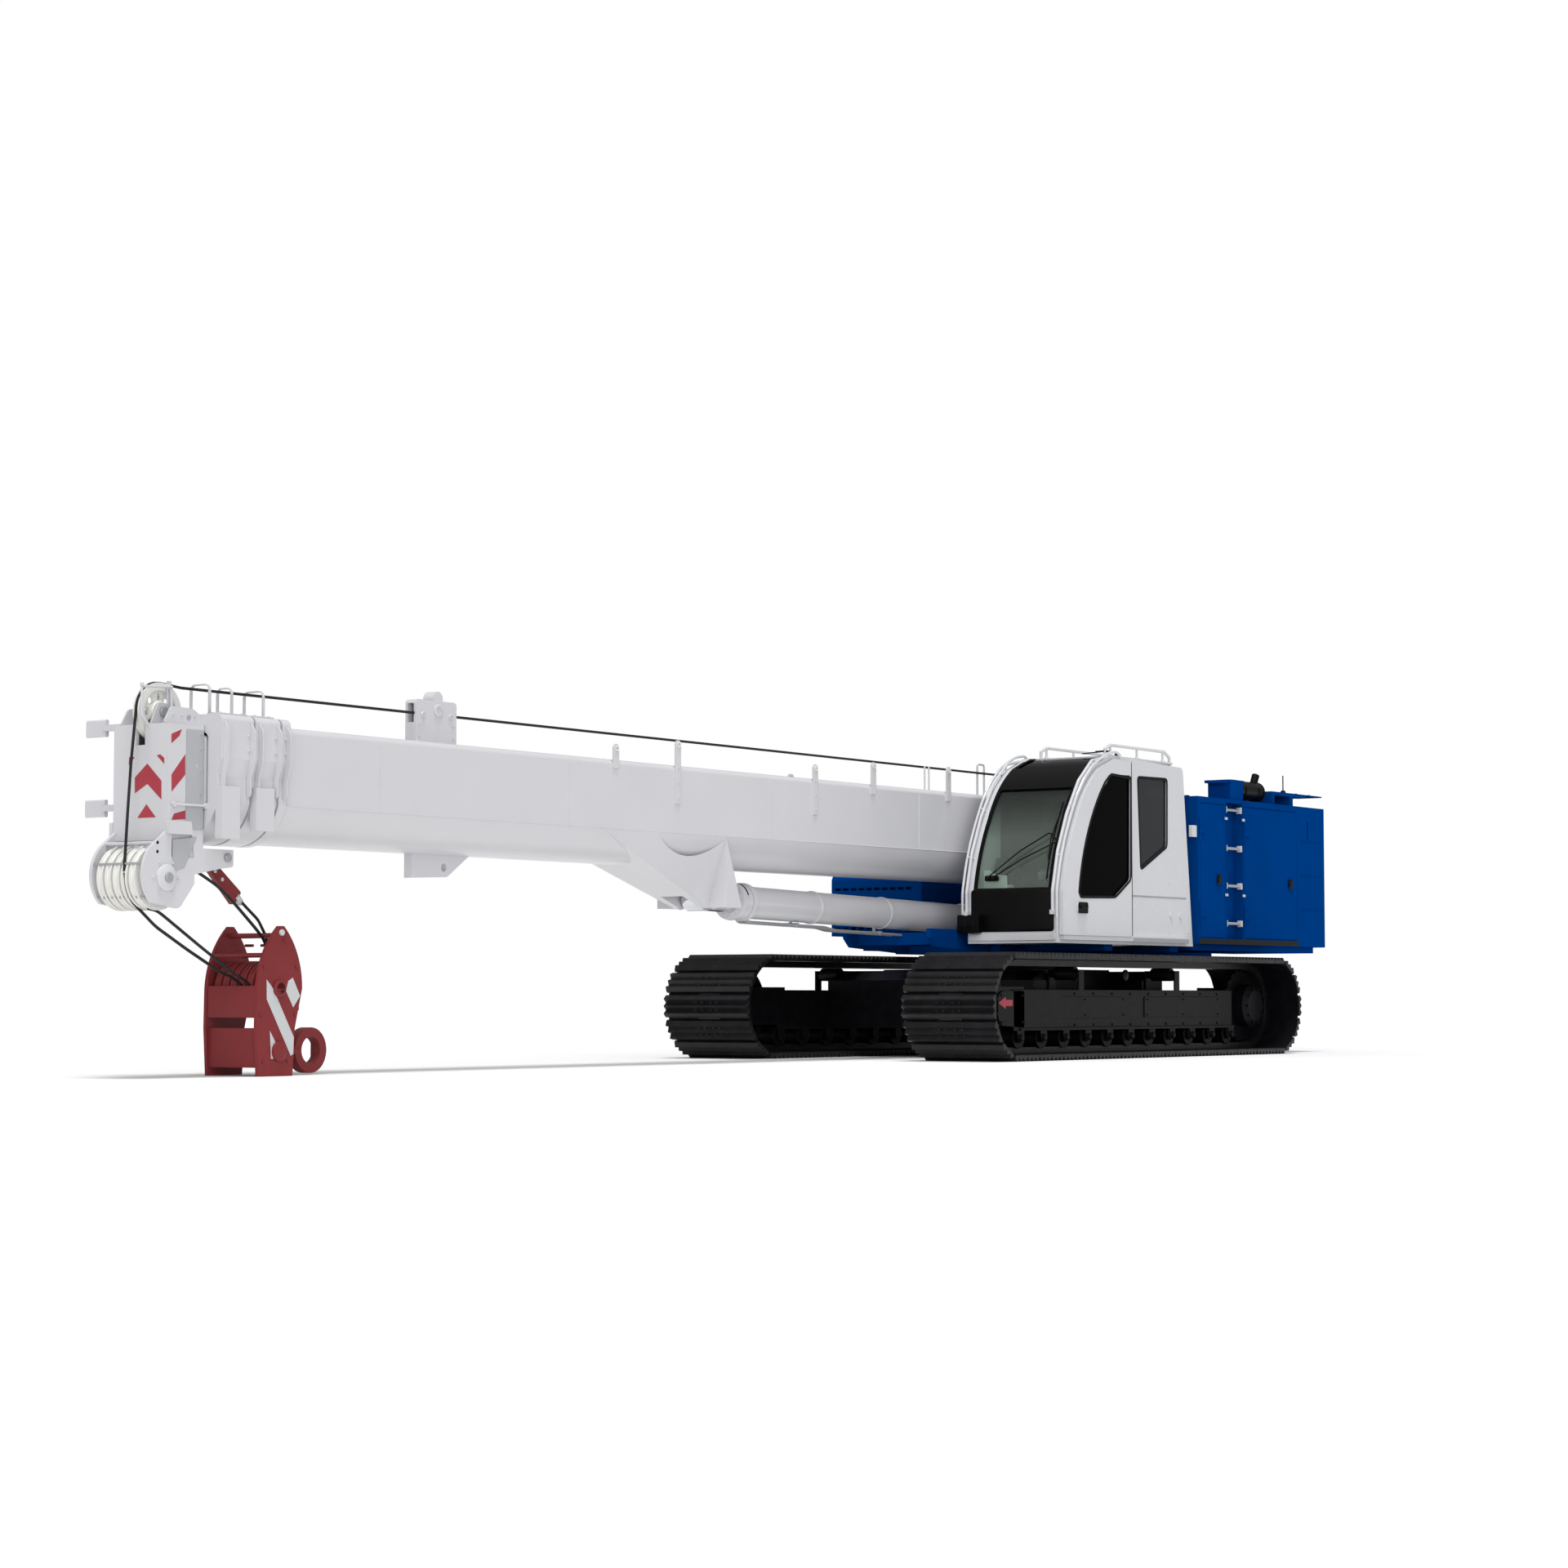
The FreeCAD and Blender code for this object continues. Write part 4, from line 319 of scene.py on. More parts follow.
def slab(points, corner, low, high, bevel=0.0):    # a plate seen from the side
    cutPlate(rounded(points, corner), low, high, "y", (), bevel)


def box(left, low, right, high, radius=0.0):
    corners = [(left, low), (right, low), (right, high), (left, high)]
    return rounded(corners, radius) if radius else corners


def disc(centre, radius, steps=20, first=0.0):    # also the places round a centre, seen from the side
    turns = [first + math.tau * i / steps for i in range(steps)]
    return [(centre[0] + radius * math.cos(t), centre[-1] + radius * math.sin(t)) for t in turns]


def softPath(points, corner, steps=5):
    if not corner:
        return [Vector(p) for p in points]
    path = [Vector(points[0])]
    for before, spot, after in zip(points, points[1:], points[2:]):
        path += roundCorner(before, spot, after, corner, 0.48, steps)
    return path + [Vector(points[-1])]


def bendRail(points, radius, sides=8, corner=0.0):
    path = softPath(points, corner)
    part = bmesh.new()
    side = None
    rings = []
    turns = [math.tau * k / sides for k in range(sides)]
    for i, spot in enumerate(path):
        ahead = (path[min(i + 1, len(path) - 1)] - path[max(i - 1, 0)]).normalized()
        if side is None:
            side = ahead.orthogonal().normalized()
        side = (side - ahead * side.dot(ahead)).normalized()
        up = ahead.cross(side)
        edge = [spot + radius * (side * math.cos(t) + up * math.sin(t)) for t in turns]
        rings.append([part.verts.new(p) for p in edge])
    for first, second in zip(rings, rings[1:]):
        for k in range(sides):
            part.faces.new([first[k], first[(k + 1) % sides], second[(k + 1) % sides], second[k]])
    part.faces.new(list(reversed(rings[0])))
    part.faces.new(rings[-1])
    bmesh.ops.recalc_face_normals(part, faces=part.faces)
    joinShape(part)


def knob(radius, tip, low, shoulder, high):    # half section of a turned head with a sloping edge
    return [(0, low), (radius, low), (radius, shoulder), (tip, high), (0, high)]


def stub(radius, low, high):
    return [(0, low), (radius, low), (radius, high), (0, high)]


# an axis is a letter, 1 or -1 for out to the left or the right, or a direction
axes = {"x": (1, 0, 0), "y": (0, 1, 0), "z": (0, 0, 1), 1: (0, 1, 0), -1: (0, -1, 0)}


def turnPart(profile, centre, axis, steps=24):    # a profile that starts off the axis makes a ring
    part = bmesh.new()
    ahead = axes[axis] if isinstance(axis, (str, int)) else axis
    closed = profile[0][0] > 0
    move = Matrix.Translation(centre) @ Vector(ahead).to_track_quat("Z", "Y").to_matrix().to_4x4()
    rings = []
    for r, h in profile:
        if r < 1e-6:
            rings.append([part.verts.new(move @ Vector((0, 0, h)))] * steps)
        else:
            rings.append([part.verts.new(move @ Vector((x, y, h))) for x, y in disc((0, 0), r, steps)])
    pairs = list(zip(rings, rings[1:])) + ([(rings[-1], rings[0])] if closed else [])
    for first, second in pairs:
        for k in range(steps):
            corners = []
            for vert in (first[k], first[(k + 1) % steps], second[(k + 1) % steps], second[k]):
                if vert not in corners:
                    corners.append(vert)
            if len(corners) > 2:
                part.faces.new(corners)
    bmesh.ops.recalc_face_normals(part, faces=part.faces)
    joinShape(part)


def boltHeads(spots, axis, radius=0.012, height=0.008, sides=6):
    for spot in spots:
        turnPart(knob(radius, radius * 0.8, 0, height * 0.7, height), spot, axis, sides)


def putPiece(name, finish, body="superstructure", crease=35):
    mesh = bpy.data.meshes.new(name)
    bench.to_mesh(mesh)
    bench.clear()
    piece = bpy.data.objects.new(name, mesh)
    bpy.context.scene.collection.objects.link(piece)
    mesh.materials.append(finishes[finish])
    mesh.shade_smooth()
    mesh.set_sharp_from_angle(angle=math.radians(crease))
    if body:
        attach(piece, body)
    return piece


# boom head: painted marks, a grey side panel with a grey plate of painted shade below it, top sheave and its
# cheeks, guards
head = {"front": 11.04, "side": 0.25, "film": 0.0015, "topSheave": (10.89, 0, 2.45),
        "lowSheave": (11.04, 0, 1.33), "sheaveRadius": 0.2, "cheekOut": 0.2, "slack": 0.206,
        "neckPin": (10.47, 0, 1.48), "hubBolts": 0.115}
frontMarks = [
    [(0.065, 2.094), (0.198, 1.974), (0.20, 1.849), (0.068, 1.958), (-0.048, 1.899), (-0.05, 2.004)],
    [(0.061, 1.823), (0.15, 1.733), (-0.022, 1.733)],
    [(-0.11, 2.09), (-0.053, 2.14), (-0.105, 2.145)],
    [(0.152, 2.146), (0.222, 2.085), (0.222, 2.125), (0.185, 2.15)]]
sideMarks = [[(11.005, 2.286), (10.91, 2.323), (10.93, 2.28), (11.004, 2.224)],
             [(11.0, 2.016), (10.875, 2.158), (10.873, 2.023), (10.998, 1.902)],
             [(10.995, 1.715), (10.973, 1.757), (10.869, 1.783), (10.868, 1.725)]]


def markHead():
    for outline in frontMarks:
        cutPlate(outline, head["front"], head["front"] + head["film"], "x")
    for outline in sideMarks:
        for sign in (1, -1):
            cutPlate(outline, sign * head["side"], sign * (head["side"] + head["film"]), "y")
    putPiece("headStripes", "signRed", "boom_tip")
    for sign in (1, -1):
        y = sign * head["side"]
        cutPlate(box(10.704, 1.66, 10.868, 2.328, 0.008), y, y + sign * 0.004, "y",
                 [disc((10.766, 2.087), 0.014)])
        # painted shade: a grey plate where the lower part of the side plate lies in shade
        slab([(10.985, 1.585), (10.76, 1.612), (10.874, 1.40), (10.982, 1.37)], 0.01, y, y + sign * 0.003)
        boltHeads([(10.735, y, z) for z in (1.74, 1.9, 2.05, 2.2, 2.3)], sign, 0.008, 0.009)
    putPiece("headSidePanelAndShade", "headGrey", "boom_tip")


def sheaveBlank(centre, radius, width, hub, holes, holeRadius):
    groove = [(radius - 0.052, -width / 2), (radius, -width / 2), (radius, -0.016), (radius - 0.008, -0.012),
              (radius - 0.014, 0), (radius - 0.008, 0.012), (radius, 0.016), (radius, width / 2),
              (radius - 0.052, width / 2), (radius - 0.06, width / 2 - 0.012),
              (radius - 0.06, 0.012 - width / 2)]
    turnPart(groove, centre, "y", 48)
    turnPart([(0.0415, -width / 2 - 0.004), (hub, -width / 2 - 0.004), (hub + 0.006, -width / 2 + 0.004),
              (hub + 0.006, width / 2 - 0.004), (hub, width / 2 + 0.004), (0.0415, width / 2 + 0.004)],
             centre, "y", 32)
    middle = (hub + radius - 0.06) / 2
    cuts = [disc(spot, holeRadius, 12) for spot in disc(centre, middle, holes)]
    cuts.append(disc(centre, hub - 0.006, 24))
    cutPlate(disc(centre, radius - 0.05, 40), -0.011, 0.011, "y", cuts)


def topSheave():
    sheaveBlank(head["topSheave"], head["sheaveRadius"], 0.055, 0.07, 8, 0.026)
    wheel = putPiece("topSheaveWheel", "nylon", "top_sheave")
    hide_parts("top_sheave")


def headIron():
    outline = rounded([(10.655, 2.362), (10.64, 2.40), (10.76, 2.473), (10.964, 2.479), (11.035, 2.362)],
                      0.03)
    for sign in (1, -1):
        y = sign * head["cheekOut"]
        cutPlate(outline, y - 0.006, y + 0.006, "y", [disc((10.80, 2.41), 0.022)], 0.002)
        cutPlate(box(10.66, 2.355, 11.03, 2.363), y - 0.03, y + 0.03, "y")
        boltHeads([(x, y + sign * 0.006, 2.425) for x in (10.75, 10.87, 10.95)], sign, 0.011)
        slab([(10.82, 1.62), (11.045, 1.62), (11.045, 1.71), (10.84, 1.71)], 0.01, sign * 0.251,
             sign * 0.282, 0.003)
        turnPart(knob(0.09, 0.07, 0.25, 0.262, 0.275), head["lowSheave"], sign, 28)
        hub = disc(head["lowSheave"], head["hubBolts"], 6)
        boltHeads([(x, sign * head["side"], z) for x, z in hub], sign, 0.012)
    bendRail([(10.838, 0.08, 2.36), (10.838, 0.08, 2.60), (10.838, 0.045, 2.635), (10.838, -0.045, 2.635),
              (10.838, -0.08, 2.60), (10.838, -0.08, 2.36)], 0.011, 8, 0.03)
    bendRail([(10.838, 0.085, 2.62), (11.118, 0.085, 2.605), (11.118, 0.085, 2.42), (11.03, 0.085, 2.33)],
             0.009, 8, 0.02)
    bendRail([(11.118, 0.085, 2.605), (11.118, 0.085, 2.628)], 0.012)
    for z in (1.50, 1.56):
        bendRail([(11.12, -0.25, z), (11.12, 0.25, z)], 0.012)
    bendRail([(10.667, 0.262, 1.82), (11.008, 0.262, 1.82)], 0.009)
    for x in (10.69, 10.985):
        cutPlate(box(x - 0.012, 1.80, x + 0.012, 1.84, 0.004), 0.25, 0.274, "y")
    for y in (-0.12, 0.0, 0.12, 0.2):
        slab([(11.045, 1.575), (11.13, 1.545), (11.185, 1.50), (11.16, 1.47), (11.045, 1.53)], 0.01,
             y - 0.005, y + 0.005, 0.001)
    putPiece("headCheeks", "boomWhite", "boom_tip")
    for z in (1.444, 1.21):
        cutPlate(box(11.10, z - 0.03, 11.14, z + 0.03, 0.008), -0.257, -0.25, "y")
    bendRail([(11.235, -0.22, 1.42), (11.235, 0.22, 1.42)], 0.008)
    bendRail([(11.2, -0.22, 1.20), (11.2, 0.22, 1.20)], 0.008)
    putPiece("headGuards", "greySteel", "boom_tip")
    for sign in (1, -1):
        turnPart(knob(0.036, 0.03, 0.054, 0.07, 0.075), head["topSheave"], sign, 20)
        turnPart(knob(0.03, 0.024, 0.25, 0.268, 0.274), head["neckPin"], sign, 20)
        turnPart(knob(0.035, 0.028, 0.275, 0.286, 0.291), head["lowSheave"], sign, 20)
    putPiece("headPins", "greySteel", "boom_tip")


markHead()
topSheave()
headIron()
print("boom head is done")


# boom: welds, ribs of the collars, rope guides, roller and the bracket's edges
boom = {"half": 0.35, "crease": 1.85, "ropeHigh": 2.627, "ropeAcross": 0.03, "ropeRear": (-1.15, 0, 2.61),
        "welds": (1.9, 4.2, 6.9, 9.05), "guide": 8.07}
# place along the boom and top of each rope stand
ropeStands = ((5.5, 2.59), (3.55, 2.51), (2.65, 2.58), (1.42, 2.61), (6.31, 2.51))
bracket = {"pin": (4.75, 0, 1.35), "pinOut": 0.186, "pinBolts": 0.068}


def boomWelds():
    for sign in (1, -1):
        y = sign * (boom["half"] + 0.0005)
        bendRail([(-1.69, y, boom["crease"]), (10.01, y, boom["crease"])], 0.005, 6)
        for x in boom["welds"]:
            bendRail([(x, y, boom["crease"]), (x, y, 2.34), (x, sign * 0.335, 2.385), (x, 0, 2.391)], 0.004,
                     6, 0.03)
    putPiece("boomSeams", "boomWhite", "boom_base")


def collarRibs():
    rows = (("boom_base", 10.02, 10.10), ("boom_two", 10.12, 10.36), ("boom_three", 10.38, 10.69))
    for body, rear, front in rows:
        for x in ((rear + 0.03, front - 0.03) if front - rear > 0.1 else ((rear + front) / 2,)):
            for sign in (1, -1):
                cutPlate(rounded([(sign * 0.368, 1.88), (sign * 0.41, 1.90), (sign * 0.41, 2.02),
                                  (sign * 0.445, 2.12), (sign * 0.445, 2.34), (sign * 0.40, 2.40),
                                  (sign * 0.398, 2.14), (sign * 0.368, 2.02)], 0.02), x - 0.006, x + 0.006,
                         "x", (), 0.001)
        for sign in (1, -1):
            boltHeads([(x, sign * 0.4, z) for x in (rear + 0.05, front - 0.05) for z in (2.2, 2.3)], sign,
                      0.010)
        if front - rear > 0.2:
            for y in (-0.3, 0.3):
                cutPlate(box(rear + 0.02, y - 0.06, front - 0.02, y + 0.06, 0.01), 2.4402, 2.449, "z", (),
                         0.002)
                boltHeads([(x, y + s, 2.449) for x in (rear + 0.05, front - 0.05) for s in (-0.035, 0.035)],
                          "z", 0.010)
        putPiece("collarRibs" + body[5:].title(), "boomWhite", body)
    # painted shade: thin black plates at the bottom of the collar pockets, where shade falls
    for body, rear, front in (("boom_two", 10.20, 10.30), ("boom_three", 10.49, 10.59)):
        for y in (0.21, -0.21):
            cutPlate(box(rear, y - 0.07, front, y + 0.07, 0.01), 2.4045, 2.4065, "z")
        putPiece("collarPocketShade" + body[5:].title(), "blackPlastic", body)


def guideDetails():
    for sign in (1, -1):
        for x, z, r in ((boom["guide"], 2.66, 0.05), (8.24, 2.62, 0.022), (7.93, 2.62, 0.022)):
            turnPart([(0, 0.05), (r, 0.05), (r, 0.058), (r * 0.8, 0.062), (r * 0.5, 0.062), (r * 0.5, 0.056),
                      (0, 0.056)], (x, 0, z), sign, 24)
        boltHeads([(x, sign * 0.05, z) for x in (7.9, 8.28) for z in (2.46, 2.55)], sign, 0.009)
        slab([(7.84, 2.392), (8.34, 2.392), (8.30, 2.43), (7.88, 2.43)], 0.01, sign * 0.05, sign * 0.062,
             0.002)
    putPiece("guideDetails", "boomWhite", "boom_base")
    turnPart([(0.018, -0.034), (0.062, -0.034), (0.05, -0.02), (0.044, 0), (0.05, 0.02), (0.062, 0.034),
              (0.018, 0.034)], (boom["guide"], 0, 2.67), "y", 24)
    for x, top in ropeStands:
        turnPart([(0.012, -0.016), (0.024, -0.016), (0.018, 0), (0.024, 0.016), (0.012, 0.016)],
                 (x, 0.356, top - 0.035), "y", 16)
    putPiece("guideRollers", "nylon", "boom_base")
    for x in (5.5, 3.55):
        boltHeads([(x, 0.362, z) for z in (2.13, 2.25, 2.37)], 1, 0.010)
    for x in (1.66, 1.73):
        bendRail([(x, 0.30, 2.385), (x, 0.30, 2.60)], 0.008)
    bendRail([(0.22, 0, 2.385), (0.22, 0, 2.71), (0.34, 0, 2.71), (0.34, 0, 2.385)], 0.010, 8, 0.03)
    cutPlate(rounded([(3.34, 2.388), (3.46, 2.388), (3.42, 2.45), (3.38, 2.45)], 0.015), -0.01, 0.01, "y",
             [disc((3.4, 2.42), 0.014, 12)])
    x, half = boom["ropeRear"][0], 0.07
    for y in (half, -half):
        slab([(x - 0.09, 2.385), (x + 0.09, 2.385), (x + 0.03, 2.64), (x - 0.03, 2.64)], 0.02, y - 0.005,
             y + 0.005)
    bendRail([(x, -half - 0.012, 2.585), (x, half + 0.012, 2.585)], 0.012)
    putPiece("boomStraps", "boomWhite", "boom_base")


def bracketDetails():
    for sign in (1, -1):
        path = [(5.28 + 0.47 * math.cos(math.radians(d)), sign * 0.112,
                 1.852 - 0.175 * math.sin(math.radians(d))) for d in range(4, 177, 12)]
        bendRail(path, 0.007, 6)
        boltHeads([(x, sign * 0.11, 1.35) for x in (4.66, 4.80)], sign, 0.014)
        turnPart(knob(0.09, 0.075, 0.167, 0.178, 0.188), bracket["pin"], sign, 28)
        bolts = disc(bracket["pin"], bracket["pinBolts"], 6, math.radians(30))
        boltHeads([(x, sign * bracket["pinOut"], z) for x, z in bolts], sign, 0.009)
    putPiece("bracketTrim", "boomWhite", "boom_base")


boomWelds()
collarRibs()
guideDetails()
bracketDetails()
print("boom is done")


# lift cylinder: gland end, slot, pipes and clamps, along the line from its base pin to its eye
lift = {"base": (0.2, 0, 1.25), "eye": bracket["pin"], "glandStart": 3.961, "glandEnd": 4.101,
        "bolts": 0.125, "slotRadius": 0.151, "pipesOut": 0.05, "clamps": (0.9, 1.9, 3.2),
        "clampDrops": (-0.165, -0.185, -0.165)}


def alongLift(x, across, rise):
    start, end = Vector(lift["base"]), Vector(lift["eye"])
    ahead = (end - start).normalized()
    up = Vector((0, 1, 0)).cross(ahead) * -1
    return start + ahead * x + Vector((0, across, 0)) + up * rise


def liftDetails():
    ahead = (Vector(lift["eye"]) - Vector(lift["base"])).normalized()
    centre = alongLift(0, 0, 0)
    for x, r, w in ((lift["glandStart"] - 0.035, 0.158, 0.03), (lift["glandEnd"] - 0.03, 0.156, 0.03),
                    (0.42, 0.145, 0.025), (1.8, 0.141, 0.02), (2.9, 0.141, 0.02)):
        turnPart([(0.12, x - w), (r, x - w), (r + 0.003, x), (r, x + w), (0.12, x + w)], centre, ahead, 40)
    bolts = disc((0, 0), lift["bolts"], 12)
    boltHeads([alongLift(lift["glandEnd"], *spot) for spot in bolts], ahead, 0.011)
    putPiece("liftRings", "boomWhite", "lift_barrel")
    for side in (lift["pipesOut"], -lift["pipesOut"]):
        points = [(0.55, side, -0.12), (0.55, side, -0.165), (1.2, side, -0.165), (1.35, side, -0.185),
                  (2.6, side, -0.185), (2.75, side, -0.165), (3.9, side, -0.165), (3.94, side, -0.13)]
        bendRail([alongLift(*p) for p in points], 0.012, 8, 0.04)
    for x, low in zip(lift["clamps"], lift["clampDrops"]):
        bendRail([alongLift(x, -0.08, low + 0.005), alongLift(x, 0.08, low + 0.005)], 0.017, 6)
        bendRail([alongLift(x, 0, low), alongLift(x, 0, -0.12)], 0.015, 6)
    putPiece("liftPipes", "greySteel", "lift_barrel")
    for first in (0.35, 0.35 + math.pi):
        turns = [first + i * 0.12 for i in range(9)]
        r = lift["slotRadius"]
        path = [alongLift(lift["glandStart"] + 0.07, r * math.cos(t), r * math.sin(t)) for t in turns]
        bendRail(path, 0.009, 6)
    putPiece("glandSlots", "blackPlastic", "lift_barrel")


liftDetails()
print("lift cylinder is done")


# hoist rope: from the drum over the boom and the top sheave, and the falls to the block
rope = {
    "radius": 0.011, "sides": 6, "turns": 30, "wire": 0.012, "pitch": 0.024, "drum": (-2.6, 0, 1.9),
    "blockWheel": (9.95, 0, 0.60), "fallsAcross": (0.075, 0.15, 0.15),
    "falls": ([(11.242, 1.36), (11.225, 1.245), (11.16, 1.16), (10.957, 1.01), (10.66, 0.86),
               (10.352, 0.715), (10.22, 0.675), (10.12, 0.61)],
              [(11.10, 1.125), (11.02, 1.113), (10.95, 1.075), (10.62, 0.885), (10.289, 0.70),
               (10.19, 0.66), (10.11, 0.60)],
              [(10.924, 1.50), (10.758, 1.432), (10.46, 1.295), (10.30, 1.185), (10.086, 1.015),
               (9.99, 0.93), (9.95, 0.80)]),
}


def ropeRun(name, points, body=None, pair=None):
    bendRail(points, rope["radius"], rope["sides"])
    piece = putPiece(name, "ropeSteel", body, 80)
    if pair:
        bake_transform(piece)
    return piece


def even(start, end, count):
    a, b = Vector(start), Vector(end)
    return [a.lerp(b, i / count) for i in range(count + 1)]


def hoistRope():
    y, z = boom["ropeAcross"], boom["ropeHigh"]
    rear = boom["ropeRear"]
    ropeRun("ropeFromDrum", even((-2.42, 0.03, 2.135), rear, 12), None, ("superstructure", "boom_base"))
    ropeRun("ropeOnBase", [rear, (0.0, y * 0.5, z), (4.0, y, z), (8.05, y, z), (9.6, y, z)], "boom_base")
    spots = (("ropeToTwo", 9.6, 10.12, "boom_base", "boom_two"),
             ("ropeToThree", 10.12, 10.38, "boom_two", "boom_three"),
             ("ropeToTip", 10.38, 10.70, "boom_three", "boom_tip"))
    for name, low, high, a, b in spots:
        ropeRun(name, even((low, y, z), (high, y, z), 14), None, (a, b))
    cx, cz = head["topSheave"][0], head["topSheave"][2]
    r = head["sheaveRadius"] - 0.014 + rope["radius"]
    turns = [math.radians(a) for a in range(10, 91, 10)]
    arc = [(cx + r * math.sin(a), 0, cz + r * math.cos(a)) for a in turns]
    lowX = head["lowSheave"][0] + head["slack"]
    down = [(lowX - 0.12, 0, 2.1), (lowX - 0.06, 0.035, 1.75), (lowX - 0.004, 0.068, 1.37)]
    ropeRun("ropeOnTip", [(10.70, y, z), (cx - 0.03, 0, cz + r)] + arc + down, "boom_tip")


def fallRopes():
    for across, path in zip(rope["fallsAcross"], rope["falls"]):
        bendRail(softPath([Vector((x, across, z)) for x, z in path], 0.05), rope["radius"], rope["sides"])
    bendRail([(9.96, 0.065, 1.06), (9.90, 0.075, 0.96), (9.87, 0.08, 0.85)], rope["radius"], rope["sides"])
    falls = putPiece("fallRopes", "ropeSteel", None, 80)
    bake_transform(falls)
    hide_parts("fall_ropes")
    # the standing end, as far as the block
    bendRail([(10.12, 0, 1.235), (10.06, 0.03, 1.165), (9.98, 0.06, 1.085), (9.962, 0.064, 1.064)],
             rope["radius"], rope["sides"], 0.03)
    putPiece("socketRope", "ropeSteel", "rope_socket", 80)


def drumRope():
    profile = [(0.245, -0.36)]
    for i in range(rope["turns"]):
        y = -0.348 + i * rope["pitch"]
        profile += [(0.262, y - rope["wire"]), (0.272, y - 0.006), (0.274, y), (0.272, y + 0.006)]
    profile += [(0.262, 0.36), (0.245, 0.36)]
    turnPart(profile, rope["drum"], "y", 40)
    putPiece("drumRope", "ropeSteel", "winch")


hoistRope()
fallRopes()
drumRope()
print("ropes are done")


# operator's cab: glass, seals, wiper, rails, door trim and the inside
cab = {"left": 0.614, "right": 1.395, "side": 1.455, "door": 1.5, "front": 1.40}


def arcThrough(a, b, c, steps=10):
    a, b, c = Vector(a), Vector(b), Vector(c)
    d = 2 * (a.x * (b.y - c.y) + b.x * (c.y - a.y) + c.x * (a.y - b.y))
    ux = (a.dot(a) * (b.y - c.y) + b.dot(b) * (c.y - a.y) + c.dot(c) * (a.y - b.y)) / d
    uy = (a.dot(a) * (c.x - b.x) + b.dot(b) * (a.x - c.x) + c.dot(c) * (b.x - a.x)) / d
    mid = Vector((ux, uy))
    first, last = (math.atan2((p - mid).y, (p - mid).x) for p in (a, c))
    if last - first > math.pi:
        last -= math.tau
    if first - last > math.pi:
        last += math.tau
    radius = (a - mid).length
    return [(mid.x + radius * math.cos(first + (last - first) * t / steps),
             mid.y + radius * math.sin(first + (last - first) * t / steps)) for t in range(steps + 1)]


cabFront = arcThrough((1.40, 1.48), (1.31, 1.81), (1.15, 2.14))
cabFront += arcThrough((1.15, 2.14), (0.94, 2.44), (0.71, 2.62))[1:]
cabFront += [(0.56, 2.678), (0.43, 2.722), (0.345, 2.733)]
rearWindow = rounded([(-0.09, 2.56), (-0.66, 2.57), (-0.65, 1.94), (-0.14, 1.71)], 0.04)
doorWindow = rounded([(0.115, 2.56), (0.13, 1.61), (0.42, 1.445), (1.07, 1.43)], 0.04)[3:-3]
doorWindow += arcThrough((1.08, 1.47), (0.928, 1.985), (0.69, 2.37))
doorWindow += [(0.60, 2.47), (0.52, 2.53), (0.475, 2.55)]


def shiftPath(path, distance, round=False):
    shifted = []
    count = len(path)
    for i, spot in enumerate(path):
        back = path[i - 1] if round or i else path[0]
        ahead = path[(i + 1) % count] if round or i < count - 1 else path[-1]
        way = Vector((ahead[0] - back[0], ahead[1] - back[1])).normalized()
        shifted.append((spot[0] - way.y * distance, spot[1] + way.x * distance))
    return shifted


def frontStrip(low, high, start, end, inset, thick):
    part = [p for p in cabFront if start <= p[1] <= end]
    outer, inner = shiftPath(part, inset), shiftPath(part, inset + thick)
    cutPlate(outer + inner[::-1], low, high, "y")


def onScreen(y, z, out=0.024):
    for (x0, z0), (x1, z1) in zip(cabFront, cabFront[1:]):
        if z0 <= z <= z1:
            way = Vector((x1 - x0, z1 - z0)).normalized()
            x = x0 + (x1 - x0) * (z - z0) / (z1 - z0)
            return (x + way.y * out, y, z - way.x * out)
    return (cab["front"] + out, y, z)


def cabGlazing():
    frontStrip(cab["left"], cab["right"], 1.47, 2.50, 0.014, 0.005)
    putPiece("windscreen", "screenGlass", "superstructure", 50)
    frontStrip(cab["left"], cab["right"], 2.40, 2.8, 0.013, 0.006)
    putPiece("roofScreen", "doorGlass", "superstructure", 50)
    for low, high in ((cab["left"] - 0.012, cab["left"] + 0.022),
                      (cab["right"] - 0.022, cab["right"] + 0.012)):
        frontStrip(low, high, 1.47, 2.8, -0.002, 0.012)
    bendRail([onScreen(y, 1.5, -0.002) for y in (cab["left"], cab["right"])], 0.012)
    frontStrip(cab["left"], cab["right"], 2.39, 2.625, -0.003, 0.012)
    cutPlate(box(0.582, 1.122, 1.43, 1.50, 0.035), 1.4005, 1.408, "x", (), 0.002)
    cutPlate(shiftPath(rearWindow, 0.012, True), cab["side"], 1.458, "y",
             [shiftPath(rearWindow, -0.010, True)])
    putPiece("cabSeals", "blackPlastic", "superstructure", 50)


